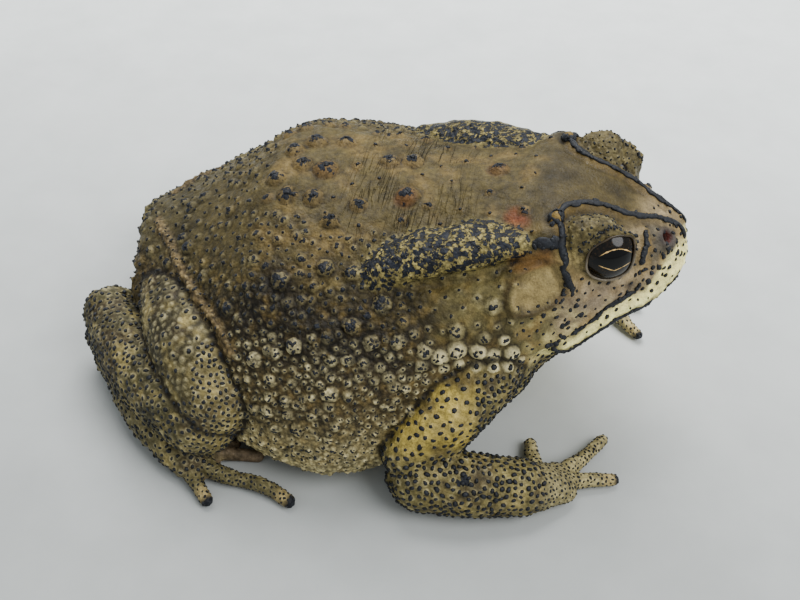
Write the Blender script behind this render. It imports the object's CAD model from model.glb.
"""Asian common toad, a still life-size museum model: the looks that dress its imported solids.

One closed skin stands for every solid of flesh. It is lofted again from the sizes of
the solids, fused, and then worked over: lids, lips, folds, glands and warts are raised
in its own surface, and its colours are painted by rules of place. Horny tips, ridges
and eyes are pieces of their own. Lengths are millimetres in the toad's own frame until
a piece is finished: it faces +X, its left is +Y and the floor is at zero.
"""
import itertools
import logging
import math
import random
from collections.abc import Callable, Iterable
from dataclasses import dataclass, field
from enum import Enum

import bmesh
import bpy
import numpy as np
from mathutils import Matrix, Vector
from mathutils.bvhtree import BVHTree
from mathutils.kdtree import KDTree


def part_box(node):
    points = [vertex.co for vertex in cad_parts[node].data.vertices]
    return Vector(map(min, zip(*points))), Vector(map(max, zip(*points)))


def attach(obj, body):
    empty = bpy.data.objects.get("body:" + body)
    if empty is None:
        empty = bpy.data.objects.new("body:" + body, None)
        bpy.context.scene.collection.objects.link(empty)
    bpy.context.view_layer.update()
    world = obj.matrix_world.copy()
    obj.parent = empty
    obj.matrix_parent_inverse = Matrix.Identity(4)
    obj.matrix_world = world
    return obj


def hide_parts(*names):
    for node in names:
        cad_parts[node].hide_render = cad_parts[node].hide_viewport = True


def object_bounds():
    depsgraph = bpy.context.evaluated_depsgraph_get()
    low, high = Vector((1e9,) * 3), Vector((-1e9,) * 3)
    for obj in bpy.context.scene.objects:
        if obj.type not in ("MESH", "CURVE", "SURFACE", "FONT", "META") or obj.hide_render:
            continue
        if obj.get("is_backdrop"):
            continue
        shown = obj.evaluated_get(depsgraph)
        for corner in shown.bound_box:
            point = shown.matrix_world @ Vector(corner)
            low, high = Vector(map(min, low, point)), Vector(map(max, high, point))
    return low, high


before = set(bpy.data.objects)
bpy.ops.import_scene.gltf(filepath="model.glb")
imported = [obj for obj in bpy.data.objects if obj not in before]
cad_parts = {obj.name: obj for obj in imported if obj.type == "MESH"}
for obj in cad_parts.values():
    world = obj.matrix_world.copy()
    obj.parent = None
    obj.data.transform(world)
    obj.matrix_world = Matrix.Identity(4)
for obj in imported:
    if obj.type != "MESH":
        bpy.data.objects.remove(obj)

LOG = logging.getLogger("toad")
MM = 0.001
EYE_CENTRE = (86.2, 10.4, 42.5)
SIDES = (-1, 1)
HASH_STEPS = (374761393, 668265263, 1442695041)
HASH_SEED_STEP = 974634777
HASH_STIR = 1274126177
HASH_BITS = 0xFFFFFFFF
Row = tuple[float, ...]
Table = tuple[Row, ...]
Array = np.ndarray
Solid = bmesh.types.BMesh
Thing = bpy.types.Object
Socket = bpy.types.NodeSocket
Value = Socket | float | Row
Tips = list[tuple[Vector, Vector, float, float]]


class Region(Enum):
    """Parts of the skin that carry warts and colours of their own."""

    TRUNK = 0
    LID = 1
    GLAND = 2
    FOLD = 3
    THIGH = 4
    SHANK = 5
    FOOT = 6
    TOE = 7
    WEB = 8
    UPPER_ARM = 9
    FOREARM = 10
    HAND = 11
    FINGER = 12


# Curves and fields


def linear(red: float, green: float, blue: float) -> Array:
    """Gives the linear colour of a screen colour in 0 to 255."""
    share = np.array([red, green, blue]) / 255
    return np.where(share <= 0.04045, share / 12.92, ((share + 0.055) / 1.055) ** 2.4)


def grow(values: Array, low: float, high: float) -> Array:
    """Goes smoothly from 0 at low to 1 at high."""
    share = np.clip((values - low) / (high - low), 0, 1)
    return share * share * (3 - 2 * share)


def fade(values: Array, low: float, high: float) -> Array:
    """Goes smoothly from 1 at low to 0 at high."""
    return grow(-values, -high, -low)


def blob_noise(points: Array, size: float, seed: int) -> Array:
    """Makes a smooth random field.

    Args:
        points: Places, one row each, in millimetres.
        size: Distance over which the field changes.
        seed: Chooses the field.

    Returns:
        One value from -1 to 1 for each place.
    """
    scaled = points / size
    cell = np.floor(scaled).astype(np.int64)
    share = scaled - cell
    share = share * share * (3 - 2 * share)
    total = np.zeros(len(points))
    for corner in itertools.product((0, 1), repeat=3):
        key = cell + np.array(corner)
        code = sum(key[:, axis] * step for axis, step in enumerate(HASH_STEPS)) + seed * HASH_SEED_STEP
        code &= HASH_BITS
        code = ((code ^ (code >> 13)) * HASH_STIR) & HASH_BITS
        value = ((code ^ (code >> 16)) & 0xFFFF) / 32767.5 - 1
        weight = np.prod(np.where(np.array(corner) == 1, share, 1 - share), axis=1)
        total += weight * value
    return total


def layered_noise(points: Array, size: float, seed: int, layers: int = 3) -> Array:
    """Adds finer and weaker blob noise to a coarse one, with the same arguments and a count of layers."""
    return sum(blob_noise(points, size / 2**layer, seed + layer) * 0.5**layer for layer in range(layers))


def bell(values: Array, middle: float, width: float) -> Array:
    """Gives a bell curve, 1 at its middle."""
    return np.exp(-(((values - middle) / width) ** 2))


def lengths(rows: Array) -> Array:
    """Gives the length of each row."""
    return np.linalg.norm(rows, axis=1)


def unit(rows: Array) -> Array:
    """Gives rows brought to a length of 1."""
    return rows / np.linalg.norm(rows, axis=1, keepdims=True)


def folded(points: Array) -> Array:
    """Gives places with those of the right side moved to the left one."""
    return points * (1, 0, 1) + np.abs(points * (0, 1, 0))


def sphere(along: Array, around: Array) -> Array:
    """Gives places on a ball of radius 1, by shares from pole to pole and angles round it."""
    angle = along * math.pi
    return np.stack([np.sin(angle) * np.cos(around), np.sin(angle) * np.sin(around), -np.cos(angle)], axis=1)


def path_distance(points: Array, path: Table | Array) -> tuple[Array, Array]:
    """Measures how far places are from a bent line.

    Args:
        points: Places, one row each.
        path: Corners of the line, one row each.

    Returns:
        The distance, and the share of the line's corners at the nearest place on it.
    """
    path = np.array(path)
    nearest = np.full(len(points), 1e9)
    share = np.zeros(len(points))
    for index, (start, end) in enumerate(zip(path[:-1], path[1:])):
        step = end - start
        along = np.clip(((points - start) @ step) / (step @ step), 0, 1)
        distance = lengths(points - start - along[:, None] * step)
        closer = distance < nearest
        nearest[closer] = distance[closer]
        share[closer] = (index + along[closer]) / (len(path) - 1)
    return nearest, share


class Curve:
    """Smooth curve through the rows of a table."""

    def __init__(self, stops: Array, rows: Array) -> None:
        """Keeps the table and the slope at each row.

        Args:
            stops: Where each row stands.
            rows: The table.
        """
        self.stops = np.asarray(stops, float)
        self.rows = np.asarray(rows, float)
        self.slopes = np.gradient(self.rows, self.stops, axis=0)

    def at(self, where: Array) -> Array:
        """Reads the curve at many places.

        Args:
            where: Places along the stops.

        Returns:
            One row of the table's columns for each place.
        """
        where = np.clip(np.atleast_1d(where), self.stops[0], self.stops[-1])
        index = np.clip(np.searchsorted(self.stops, where) - 1, 0, len(self.stops) - 2)
        step = (self.stops[index + 1] - self.stops[index])[:, None]
        t = (where - self.stops[index])[:, None] / step
        start = 2 * t**3 - 3 * t**2 + 1
        return (start * self.rows[index] + (t**3 - 2 * t**2 + t) * step * self.slopes[index]
                + (1 - start) * self.rows[index + 1] + (t**3 - t**2) * step * self.slopes[index + 1])


def path_curve(path: Array) -> tuple[Curve, float]:
    """Gives a smooth curve along a path of x, y, z and sizes, and its length."""
    stops = np.concatenate([[0], np.cumsum(lengths(np.diff(path[:, :3], axis=0)))])
    return Curve(stops, path), float(stops[-1])


def on_side(path: Iterable[Row], side: int) -> Array:
    """Gives a path of the left side on the asked side."""
    return np.array([(row[0], row[1] * side, *row[2:]) for row in path], dtype=float)


# Meshes


def shaped_ball(segments: int, rings: int, place: Callable[[Array, Array], Array]) -> Solid:
    """Makes a closed mesh from a sphere.

    Args:
        segments: Faces round the sphere.
        rings: Faces from pole to pole.
        place: Gives each vertex its place from its shares along and its angle round.

    Returns:
        The mesh, with its faces turned outwards.
    """
    mesh = bmesh.new()
    bmesh.ops.create_uvsphere(mesh, u_segments=segments, v_segments=rings, radius=1)
    x, y, z = spots_of(mesh.verts).T
    along = np.arccos(np.clip(-z, -1, 1)) / math.pi
    around = np.arctan2(y, x)
    for vertex, spot in zip(mesh.verts, place(along, around)):
        vertex.co = spot
    mesh.normal_update()
    bmesh.ops.recalc_face_normals(mesh, faces=mesh.faces)
    return mesh


def spots_of(vertices: Iterable[bmesh.types.BMVert | bpy.types.MeshVertex]) -> Array:
    """Gives the places of vertices, one a row."""
    return np.array([vertex.co for vertex in vertices])


def new_object(name: str, data: bpy.types.ID | None) -> Thing:
    """Makes an object and links it into the scene.

    Args:
        name: Its name.
        data: What it holds.

    Returns:
        The object.
    """
    thing = bpy.data.objects.new(name, data)
    bpy.context.scene.collection.objects.link(thing)
    return thing


def as_object(mesh: Solid, name: str) -> Thing:
    """Puts a bmesh into a new smooth-shaded object and frees it.

    Args:
        mesh: The mesh.
        name: The object's name.

    Returns:
        The object.
    """
    data = bpy.data.meshes.new(name)
    mesh.to_mesh(data)
    mesh.free()
    data.shade_smooth()
    return new_object(name, data)


def pour(part: Solid, whole: Solid) -> None:
    """Adds one mesh to another and frees it.

    Args:
        part: The mesh that is added.
        whole: The mesh that takes it in.
    """
    data = bpy.data.meshes.new("part")
    part.to_mesh(data)
    part.free()
    whole.from_mesh(data)
    bpy.data.meshes.remove(data)


def apply_modifiers(thing: Thing) -> None:
    """Replaces an object's mesh by what its modifiers make of it.

    Args:
        thing: The object.
    """
    graph = bpy.context.evaluated_depsgraph_get()
    data = bpy.data.meshes.new_from_object(thing.evaluated_get(graph))
    thing.modifiers.clear()
    thing.data = data
    data.shade_smooth()


def limb(path: Array, segments: int, rings: int, cap_rings: int = 3) -> Solid:
    """Lofts a limb with round ends.

    Args:
        path: Rows of x, y, z, half width and half height.
        segments: Faces round the limb.
        rings: Faces along it.
        cap_rings: Faces along each round end.

    Returns:
        The closed mesh.
    """
    curve, length = path_curve(path)
    cap = cap_rings / rings

    def place(along: Array, around: Array) -> Array:
        """Places vertices.

        Args:
            along: Shares from end to end.
            around: Angles round it in radians.

        Returns:
            The places on the limb.
        """
        share = np.clip((along - cap) / (1 - 2 * cap), 0, 1)
        here = curve.at(share * length)
        ahead = curve.at(np.minimum(1, share + 0.01) * length)[:, :3]
        behind = curve.at(np.maximum(0, share - 0.01) * length)[:, :3]
        tangent = unit(ahead - behind)
        side = unit(np.cross(tangent, (0, 0, 1)))
        up = np.cross(side, tangent)
        wide, high = here[:, 3:4], here[:, 4:5]
        angle = (np.minimum(1, np.minimum(along, 1 - along) / cap) * math.pi / 2)[:, None]
        past = np.where(along[:, None] > 0.5, 1, -1) * np.cos(angle) * 0.5 * (wide + high)
        across = side * np.cos(around)[:, None] * wide + up * np.sin(around)[:, None] * high
        return here[:, :3] + tangent * past + across * np.sin(angle)

    return shaped_ball(segments, rings, place)


@dataclass(frozen=True)
class Placing:
    """Carries the toad's own millimetres into the frame's metres."""

    shift: tuple[float, float, float]

    @classmethod
    def from_eye(cls, node: str = "eye_right") -> "Placing":
        """Finds the shift from where the solids hold an eye.

        Args:
            node: The solid of the eye.

        Returns:
            The placing.
        """
        low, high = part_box(node)
        middle = (low + high) / 2 / MM
        x, y, z = EYE_CENTRE
        return cls((middle.x - x, middle.y + y, middle.z - z))

    def settle(self, thing: Thing) -> None:
        """Moves and scales a finished object's mesh into the frame."""
        thing.data.transform(Matrix.Scale(MM, 4) @ Matrix.Translation(self.shift))

    def point(self, spot: Row) -> Vector:
        """Gives one place in the frame."""
        return (Vector(spot) + Vector(self.shift)) * MM


# Body form


@dataclass
class Trunk:
    """Trunk lofted from the rump to the snout.

    Each row holds x, underside, top, half width, height of the widest level, roundness
    above that level and roundness below it.
    """

    rows: Table = (
        (-1.2, 15, 22, 0, 18.5, 2, 2),
        (0.8, 7.5, 27.4, 12.5, 16.5, 2.1, 2.2),
        (5, 4, 29.2, 18, 14, 2, 2.4),
        (10, 2, 31.8, 22.2, 12.5, 1.95, 2.4),
        (20, 0.2, 38, 29.8, 11, 1.95, 2.4),
        (29, -0.5, 44.4, 35.6, 10, 1.95, 2.5),
        (38, -0.6, 44.8, 38, 9.5, 2, 2.9),
        (46, -0.6, 44.6, 38.2, 9.5, 2, 3),
        (54, -0.5, 44.8, 35.2, 10.5, 2, 2.9),
        (62, 0.4, 45.6, 30.8, 13.5, 2.1, 2.7),
        (70, 3.2, 46.8, 26.8, 17.5, 2.3, 2.5),
        (76, 8, 48, 22.6, 22, 2.6, 2.3),
        (80.6, 13.6, 48, 19.4, 25.5, 2.8, 2.2),
        (84.5, 17.6, 47.4, 16.9, 26.2, 2.9, 2.1),
        (88, 20.6, 46.4, 14.7, 27, 2.8, 2),
        (92, 23.6, 44.9, 12, 28.8, 2.7, 2),
        (96, 27, 43.2, 9, 30.8, 2.5, 2),
        (98.6, 29.8, 41.6, 6.2, 32.6, 2.3, 2),
        (100.4, 34, 38.6, 0, 36, 2, 2),
    )
    segments: int = 120
    rings: int = 140
    crowding: float = 0.5
    curve: Curve = field(init=False)

    def __post_init__(self) -> None:
        """Works out the curve, with stops spaced so that both ends come out round."""
        table = np.array(self.rows)
        self.curve = Curve(self.stop(table[:, 0]), table[:, 1:])

    def stop(self, x: Array) -> Array:
        """Gives the angle that stands for a distance along the trunk."""
        share = (x - self.rows[0][0]) / (self.rows[-1][0] - self.rows[0][0])
        return np.arccos(np.clip(1 - 2 * share, -1, 1))

    def points(self, x: Array, around: Array) -> Array:
        """Gives the skin's places at distances along the trunk and angles round it.

        Args:
            x: The distances.
            around: The angles in radians.

        Returns:
            The places, one a row.
        """
        under, top, half, level, above, below = self.curve.at(self.stop(x)).T
        half = np.maximum(half, 0)
        side, rise = np.cos(around), np.sin(around)
        power = 2 / np.where(rise > 0, above, below)
        reach = np.where(rise > 0, top - level, level - under)
        y = np.sign(side) * np.abs(side) ** power * half
        z = level + np.sign(rise) * np.abs(rise) ** power * reach
        return np.stack([x, y, z], axis=1)

    def lean(self, points: Array) -> Array:
        """Gives how far round the trunk places lie, from -90 degrees below to 90 above.

        Args:
            points: The places.

        Returns:
            The angles in degrees.
        """
        under, top, half, level, _, _ = self.curve.at(self.stop(points[:, 0])).T
        rise = points[:, 2] - level
        reach = np.where(rise > 0, top - level, level - under)
        return np.degrees(np.arctan2(rise / np.maximum(reach, 0.1), np.abs(points[:, 1]) / np.maximum(half, 0.1)))

    def flank(self, points: Array) -> Array:
        """Gives how far places are on the flanks and not on the back."""
        return fade(self.lean(points), 45, 62)

    def mesh(self) -> Solid:
        """Lofts the trunk.

        Returns:
            The closed mesh.
        """
        first = self.rows[0][0]
        length = self.rows[-1][0] - first

        def place(along: Array, around: Array) -> Array:
            """Places vertices, which stand closer near both ends."""
            wave = np.sin(2 * math.pi * along) / (2 * math.pi)
            return self.points(first + length * (along - self.crowding * wave), around)

        return shaped_ball(self.segments, self.rings, place)


@dataclass
class Limbs:
    """Limbs of one side, as rows of x, y, z, half width and half height."""

    thigh: Table = ((10, 13, 18.5, 6.4, 7.2), (15.8, 20.3, 19, 8.5, 8.2),
                    (21.4, 27.2, 17.8, 8.6, 8.2), (24.4, 32, 14.6, 7.6, 7.6))
    shank: Table = ((21.8, 34, 10.4, 6.8, 7.2), (12.6, 29.2, 11, 6.9, 7.2),
                    (3.6, 21.8, 11.4, 6.3, 6.7), (-3.2, 14.8, 11.6, 5.2, 5.6))
    tarsus: Table = ((-4, 16.4, 7.4, 4, 4.4), (3.7, 25, 5.6, 4, 4.6),
                     (12.9, 33.5, 4.4, 4, 4.2), (20.6, 38.2, 3, 3.9, 2.9))
    toes: tuple[Table, ...] = (
        ((17, 35, 2.4, 1.5, 1.6), (20, 32.6, 1.6, 1.15, 1.25), (22.6, 31.2, 1.1, 0.95, 1.05)),
        ((18.5, 36, 2.4, 1.6, 1.7), (23, 33.2, 1.6, 1.2, 1.3), (26.6, 31.9, 1.1, 1, 1.1)),
        ((20, 37, 2.6, 1.7, 1.8), (26, 34.8, 1.7, 1.25, 1.4), (31.6, 33.8, 1.2, 1.05, 1.15)),
        ((21.5, 38.6, 2.8, 1.8, 1.9), (28, 39.9, 2.1, 1.35, 1.6), (32, 39.9, 1.8, 1.25, 1.45),
         (36.4, 40.6, 1.6, 1.25, 1.4), (39.8, 42, 1.3, 1.2, 1.25)),
        ((20, 39.6, 2.6, 1.7, 1.8), (23.2, 42.4, 1.8, 1.3, 1.5), (25.8, 44.9, 1.3, 1.15, 1.25)),
    )
    upper_arm: Table = ((69, 21.8, 21.6, 7.4, 7), (65.2, 28.8, 16.6, 6.1, 6.4), (59.9, 34, 10.2, 4.4, 5.4))
    forearm: Table = ((62, 35.2, 6.2, 6, 6), (70, 34.8, 5.8, 5.6, 5.7), (79, 32.6, 4.8, 4.8, 4.7))
    hand: Table = ((80.8, 32, 4.3, 4.2, 4), (85.4, 28.8, 2.8, 3.9, 2.6))
    fingers: tuple[Table, ...] = (
        ((82.5, 29, 2.7, 1.7, 1.7), (80.6, 24.2, 2, 1.35, 1.4), (79.6, 19.9, 1.3, 1.1, 1.15)),
        ((85, 28, 2.6, 1.8, 1.8), (89.2, 21.8, 2, 1.25, 1.4), (92.6, 16, 1.3, 1.1, 1.1)),
        ((86, 28.4, 2.6, 1.7, 1.7), (90.8, 26.3, 2, 1.25, 1.35), (95, 24.8, 1.4, 1.1, 1.15)),
        ((84.5, 30, 2.4, 1.5, 1.6), (86, 29.4, 1.8, 1.2, 1.3), (87.2, 28.6, 1.2, 1, 1.05)),
    )
    left_hand_shift: Row = (1.5, -5.3)
    left_hand_turn: float = 19.0
    web_thickness: float = 0.45

    def hand_paths(self, side: int) -> tuple[Array, Array, list[Array]]:
        """Gives forearm, palm and finger paths, with the left hand further forward and in.

        Args:
            side: 1 for the left side, -1 for the right one.

        Returns:
            Paths of the forearm, the palm and the fingers.
        """
        forearm, hand = on_side(self.forearm, side), on_side(self.hand, side)
        fingers = [on_side(path, side) for path in self.fingers]
        if side > 0:
            pivot = hand[-1, :2].copy()
            shift = np.array(self.left_hand_shift)
            angle = math.radians(self.left_hand_turn)
            turn = np.array([[math.cos(angle), -math.sin(angle)], [math.sin(angle), math.cos(angle)]])
            for path in fingers:
                path[:, :2] = (path[:, :2] - pivot) @ turn.T + pivot + shift
            hand[:, :2] += shift
            forearm[-1, :2] += shift
            forearm[1, :2] += shift * 0.45
        return forearm, hand, fingers

    def dark_digits(self, side: int) -> list[Array]:
        """Gives the paths of the toes and fingers that end in dark horn."""
        fingers = self.hand_paths(side)[2]
        return [on_side(path, side) for path in self.toes[3:]] + (fingers if side > 0 else fingers[2:3])

    def web(self, first: Array, second: Array) -> Solid:
        """Makes the thin curved web between two toes.

        Args:
            first: Path of one toe.
            second: Path of the next one.

        Returns:
            The closed mesh.
        """
        curves = [path_curve(path) for path in (first, second)]

        def place(along: Array, around: Array) -> Array:
            """Places vertices.

            Args:
                along: Shares from end to end.
                around: Angles round it in radians.

            Returns:
                The places on the web.
            """
            angle = along * math.pi
            across = 0.5 + 0.5 * np.sin(angle) * np.cos(around)
            out = 0.5 + 0.5 * np.sin(angle) * np.sin(around)
            reach = 0.62 - 0.26 * np.sin(across * math.pi)
            one, two = (curve.at(out * reach * length)[:, :3] for curve, length in curves)
            spot = one + (two - one) * across[:, None]
            spot[:, 2] += -0.4 - np.cos(angle) * self.web_thickness
            return spot

        return shaped_ball(24, 16, place)

    def shells(self, side: int) -> list[tuple[Region, Solid]]:
        """Lofts every limb of one side.

        Args:
            side: 1 for the left side, -1 for the right one.

        Returns:
            The region and the closed mesh of each.
        """
        forearm, hand, fingers = self.hand_paths(side)
        toes = [on_side(path, side) for path in self.toes]
        plain = ((Region.THIGH, self.thigh), (Region.SHANK, self.shank), (Region.FOOT, self.tarsus),
                 (Region.UPPER_ARM, self.upper_arm))
        made = [(region, limb(on_side(path, side), 40, 48, cap_rings=12)) for region, path in plain]
        made.append((Region.FOREARM, limb(forearm, 36, 44, cap_rings=11)))
        made.append((Region.HAND, limb(hand, 32, 32, cap_rings=10)))
        made += [(Region.TOE, limb(path, 20, 36, cap_rings=6)) for path in toes]
        made += [(Region.FINGER, limb(path, 20, 36, cap_rings=6)) for path in fingers]
        made += [(Region.WEB, self.web(toes[index], toes[index + 1])) for index in range(4)]
        return made


@dataclass
class Glands:
    """Parotoid gland behind each eye and the fold of skin over each thigh."""

    parotoid: Table = ((71.4, 14, 42.8, 3.6, 2.8), (66.5, 14.9, 42.6, 4.5, 3.2), (60, 16.4, 41.2, 4.6, 3.3),
                       (54, 18.2, 39.2, 4.2, 3.2), (50.6, 19.8, 37.8, 3.2, 2.6))
    groin: Table = ((4, 4.2, 0.7, 0.7), (8.2, 9.2, 0.8, 0.8), (15.2, 18, 0.8, 0.9), (21.2, 24.4, 0.8, 1),
                    (25.2, 28.2, 0.7, 0.9), (28.4, 31.6, 0.6, 0.8))

    def groin_path(self, trunk: Trunk, side: int) -> Array:
        """Gives the fold's path on the trunk.

        Args:
            trunk: The trunk.
            side: 1 for the left side, -1 for the right one.

        Returns:
            Rows of x, y, z, half width and half height.
        """
        rows = []
        for x, y, wide, high in self.groin:
            _, top, half, level, above, _ = trunk.curve.at(trunk.stop(np.array([x])))[0]
            z = level + (top - level) * (1 - min(1, y / half) ** above) ** (1 / above)
            rows.append((x, y, z, wide, high))
        return on_side(rows, side)

    def shells(self, trunk: Trunk, side: int) -> list[tuple[Region, Solid]]:
        """Lofts the gland and the fold of one side."""
        return [(Region.GLAND, limb(on_side(self.parotoid, side), 32, 44, cap_rings=10)),
                (Region.FOLD, limb(self.groin_path(trunk, side), 14, 60, cap_rings=4))]


@dataclass
class EyeFrame:
    """Where an eye sits, which way it looks and where its lids meet it.

    The rim gives pairs of degrees: round the eye from the front, and out from its middle.
    """

    radius: float = 5.5
    look: Row = (0.31, 0.90, 0.29)
    rim: Table = ((-151, 42), (-129, 48), (-110, 49), (-90, 50), (-68, 51.5), (-50, 53),
                  (-32, 50.5), (-11, 45.5), (21, 41.5), (43, 37.5), (62, 35.5), (84, 37.5),
                  (118, 43), (141, 49), (156, 44), (178, 38))
    squeeze: float = 0.27

    def centre(self, side: int) -> Array:
        """Gives the middle of one side's eyeball."""
        x, y, z = EYE_CENTRE
        return np.array([x, y * side, z])

    def axes(self, side: int) -> Array:
        """Gives the directions forwards, upwards and outwards of one side's eye, one a row.

        Args:
            side: 1 for the left side, -1 for the right one.

        Returns:
            The three directions.
        """
        out = np.array([self.look[0], self.look[1] * side, self.look[2]])
        out /= np.linalg.norm(out)
        forward = np.cross(out, (0, 0, 1)) * -side
        forward /= np.linalg.norm(forward)
        up = np.cross(forward, out)
        return np.stack([forward, up * np.sign(up[2]), out])

    def rim_at(self, around: Array) -> Array:
        """Gives how far out the lids' rim lies at angles round the eye, both in radians.

        Args:
            around: The angles round the eye.

        Returns:
            The angles out from its middle.
        """
        table = np.radians(np.array(self.rim))
        turn = 2 * math.pi
        closed = np.concatenate([table[-3:] - (turn, 0), table, table[:3] + (turn, 0)])
        return Curve(closed[:, 0], closed[:, 1:]).at(around)[:, 0]

    def reach(self, around: Array, out: Array) -> Array:
        """Gives the eyeball's radius at angles round it and out from its middle; its hidden part is smaller."""
        past = np.degrees(out - self.rim_at(around))
        return self.radius * (1 - self.squeeze * grow(past, 3, 26))

    def rim_points(self, side: int, radius: float, count: int, widen: float = 0) -> Array:
        """Gives places along the lids' rim at some distance from the eye's middle.

        Args:
            side: 1 for the left side, -1 for the right one.
            radius: The distance from the eye's middle.
            count: How many places.
            widen: Angle that they lie outside the rim.

        Returns:
            The places, one a row.
        """
        around = np.linspace(-math.pi, math.pi, count, endpoint=False)
        out = self.rim_at(around) + widen
        local = np.stack([np.cos(around) * np.sin(out), np.sin(around) * np.sin(out), np.cos(out)], axis=1)
        return self.centre(side) + radius * local @ self.axes(side)


# Warts


@dataclass(frozen=True)
class WartZone:
    """How warts grow in one zone: spacing, radii, height share, tips on each and their size."""

    spacing: float
    least: float
    greatest: float
    height: float
    tips: tuple[int, int]
    tip: tuple[float, float]
    spread: float = 0.55
    tip_height: float = 0.8


class Zone(Enum):
    """Zones of the skin by the warts that they carry."""

    BACK = WartZone(5.6, 0.50, 2.2, 0.60, (1, 3), (0.30, 0.46), 0.24, 0.45)
    SIDE = WartZone(1.9, 0.45, 1.8, 0.52, (1, 5), (0.22, 0.38), 0.45, 0.30)
    RUMP = WartZone(2.5, 0.50, 1.70, 0.58, (1, 2), (0.24, 0.36), 0.20, 0.95)
    FLANK = WartZone(1.7, 0.40, 1.80, 0.52, (1, 10), (0.19, 0.33), 0.68, 0.50)
    LOW = WartZone(1.3, 0.38, 1.05, 0.50, (1, 5), (0.18, 0.29), 0.58, 0.55)
    SHOULDER = WartZone(2.9, 0.40, 1.60, 0.62, (1, 9), (0.20, 0.36), 0.60, 0.45)
    NECK = WartZone(2.8, 0.40, 0.90, 0.40, (1, 2), (0.26, 0.42), 0.15, 0.55)
    BELLY = WartZone(1.35, 0.45, 0.80, 0.45, (0, 2), (0.13, 0.20), 0.40, 0.60)
    THROAT = WartZone(1.50, 0.45, 0.75, 0.30, (0, 1), (0.14, 0.22), 0.20, 0.60)
    CHEEK = WartZone(1.7, 0.30, 0.60, 0.32, (1, 1), (0.22, 0.46), 0.10, 0.40)
    LID = WartZone(1.15, 0.35, 0.62, 0.50, (1, 2), (0.15, 0.26), 0.30, 0.80)
    ARM = WartZone(1.50, 0.50, 0.85, 0.24, (1, 1), (0.33, 0.54), 0.10, 0.26)
    LIMB = WartZone(1.05, 0.46, 0.75, 0.40, (1, 1), (0.34, 0.54), 0.08, 0.42)
    LEG = WartZone(1.12, 0.46, 0.95, 0.34, (1, 1), (0.30, 0.54), 0.10, 0.42)
    THIGH = WartZone(1.40, 0.45, 1.05, 0.38, (0, 2), (0.28, 0.46), 0.30, 0.45)
    KNEE = WartZone(0.90, 0.40, 0.52, 0.34, (1, 1), (0.29, 0.40), 0.05, 0.30)
    RIDGE = WartZone(1.20, 0.40, 0.80, 0.42, (0, 3), (0.18, 0.32), 0.50, 0.60)
    DIGIT = WartZone(0.74, 0.28, 0.45, 0.24, (1, 1), (0.20, 0.32), 0.05, 0.42)
    NONE = WartZone(9, 0, 0, 0, (0, 0), (0.1, 0.1))


@dataclass
class Wart:
    """One wart: its place, which way it stands, its radius, height and zone."""

    spot: Array
    outward: Array
    radius: float
    height: float
    zone: Zone


class SkinSheet:
    """The skin's vertices as arrays while it is worked over."""

    def __init__(self, thing: Thing) -> None:
        """Reads an object's mesh.

        Args:
            thing: The object.
        """
        self.thing = thing
        data = thing.data
        self.count = len(data.vertices)
        self.points = np.empty(self.count * 3)
        data.vertices.foreach_get("co", self.points)
        self.points = self.points.reshape(-1, 3)
        edges = np.empty(len(data.edges) * 2, dtype=np.int64)
        data.edges.foreach_get("vertices", edges)
        self.edges = edges.reshape(-1, 2)
        self.links = np.bincount(self.edges.ravel(), minlength=self.count)
        self.normals = self.read_normals()

    def read_normals(self) -> Array:
        """Reads the mesh's vertex normals.

        Returns:
            The normals, one a row.
        """
        normals = np.empty(self.count * 3)
        self.thing.data.vertex_normals.foreach_get("vector", normals)
        return normals.reshape(-1, 3)

    def write(self) -> None:
        """Puts the moved points back into the mesh and reads its normals again."""
        self.thing.data.vertices.foreach_set("co", self.points.ravel())
        self.thing.data.update()
        self.normals = self.read_normals()

    def average(self, values: Array) -> Array:
        """Gives each vertex the mean of its neighbours' values.

        Args:
            values: One value or row a vertex.

        Returns:
            The means.
        """
        start, end = self.edges.T
        if values.ndim == 1:
            total = np.bincount(start, values[end], self.count) + np.bincount(end, values[start], self.count)
            return total / self.links
        return np.stack([self.average(column) for column in values.T], axis=1)

    def blur(self, values: Array, times: int) -> Array:
        """Spreads values over the sheet.

        Args:
            values: One value or row a vertex.
            times: How often.

        Returns:
            The spread values.
        """
        for _ in range(times):
            values = 0.5 * values + 0.5 * self.average(values)
        return values

    def relax(self, times: int, weight: Array | float = 1) -> None:
        """Smooths the surface without shrinking it.

        Args:
            times: How often.
            weight: How strongly, for all or for each vertex.
        """
        weight = np.broadcast_to(weight, self.count)[:, None]
        for _ in range(times):
            for share in (0.5, -0.52):
                self.points = self.points + share * weight * (self.average(self.points) - self.points)
        self.write()


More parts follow.
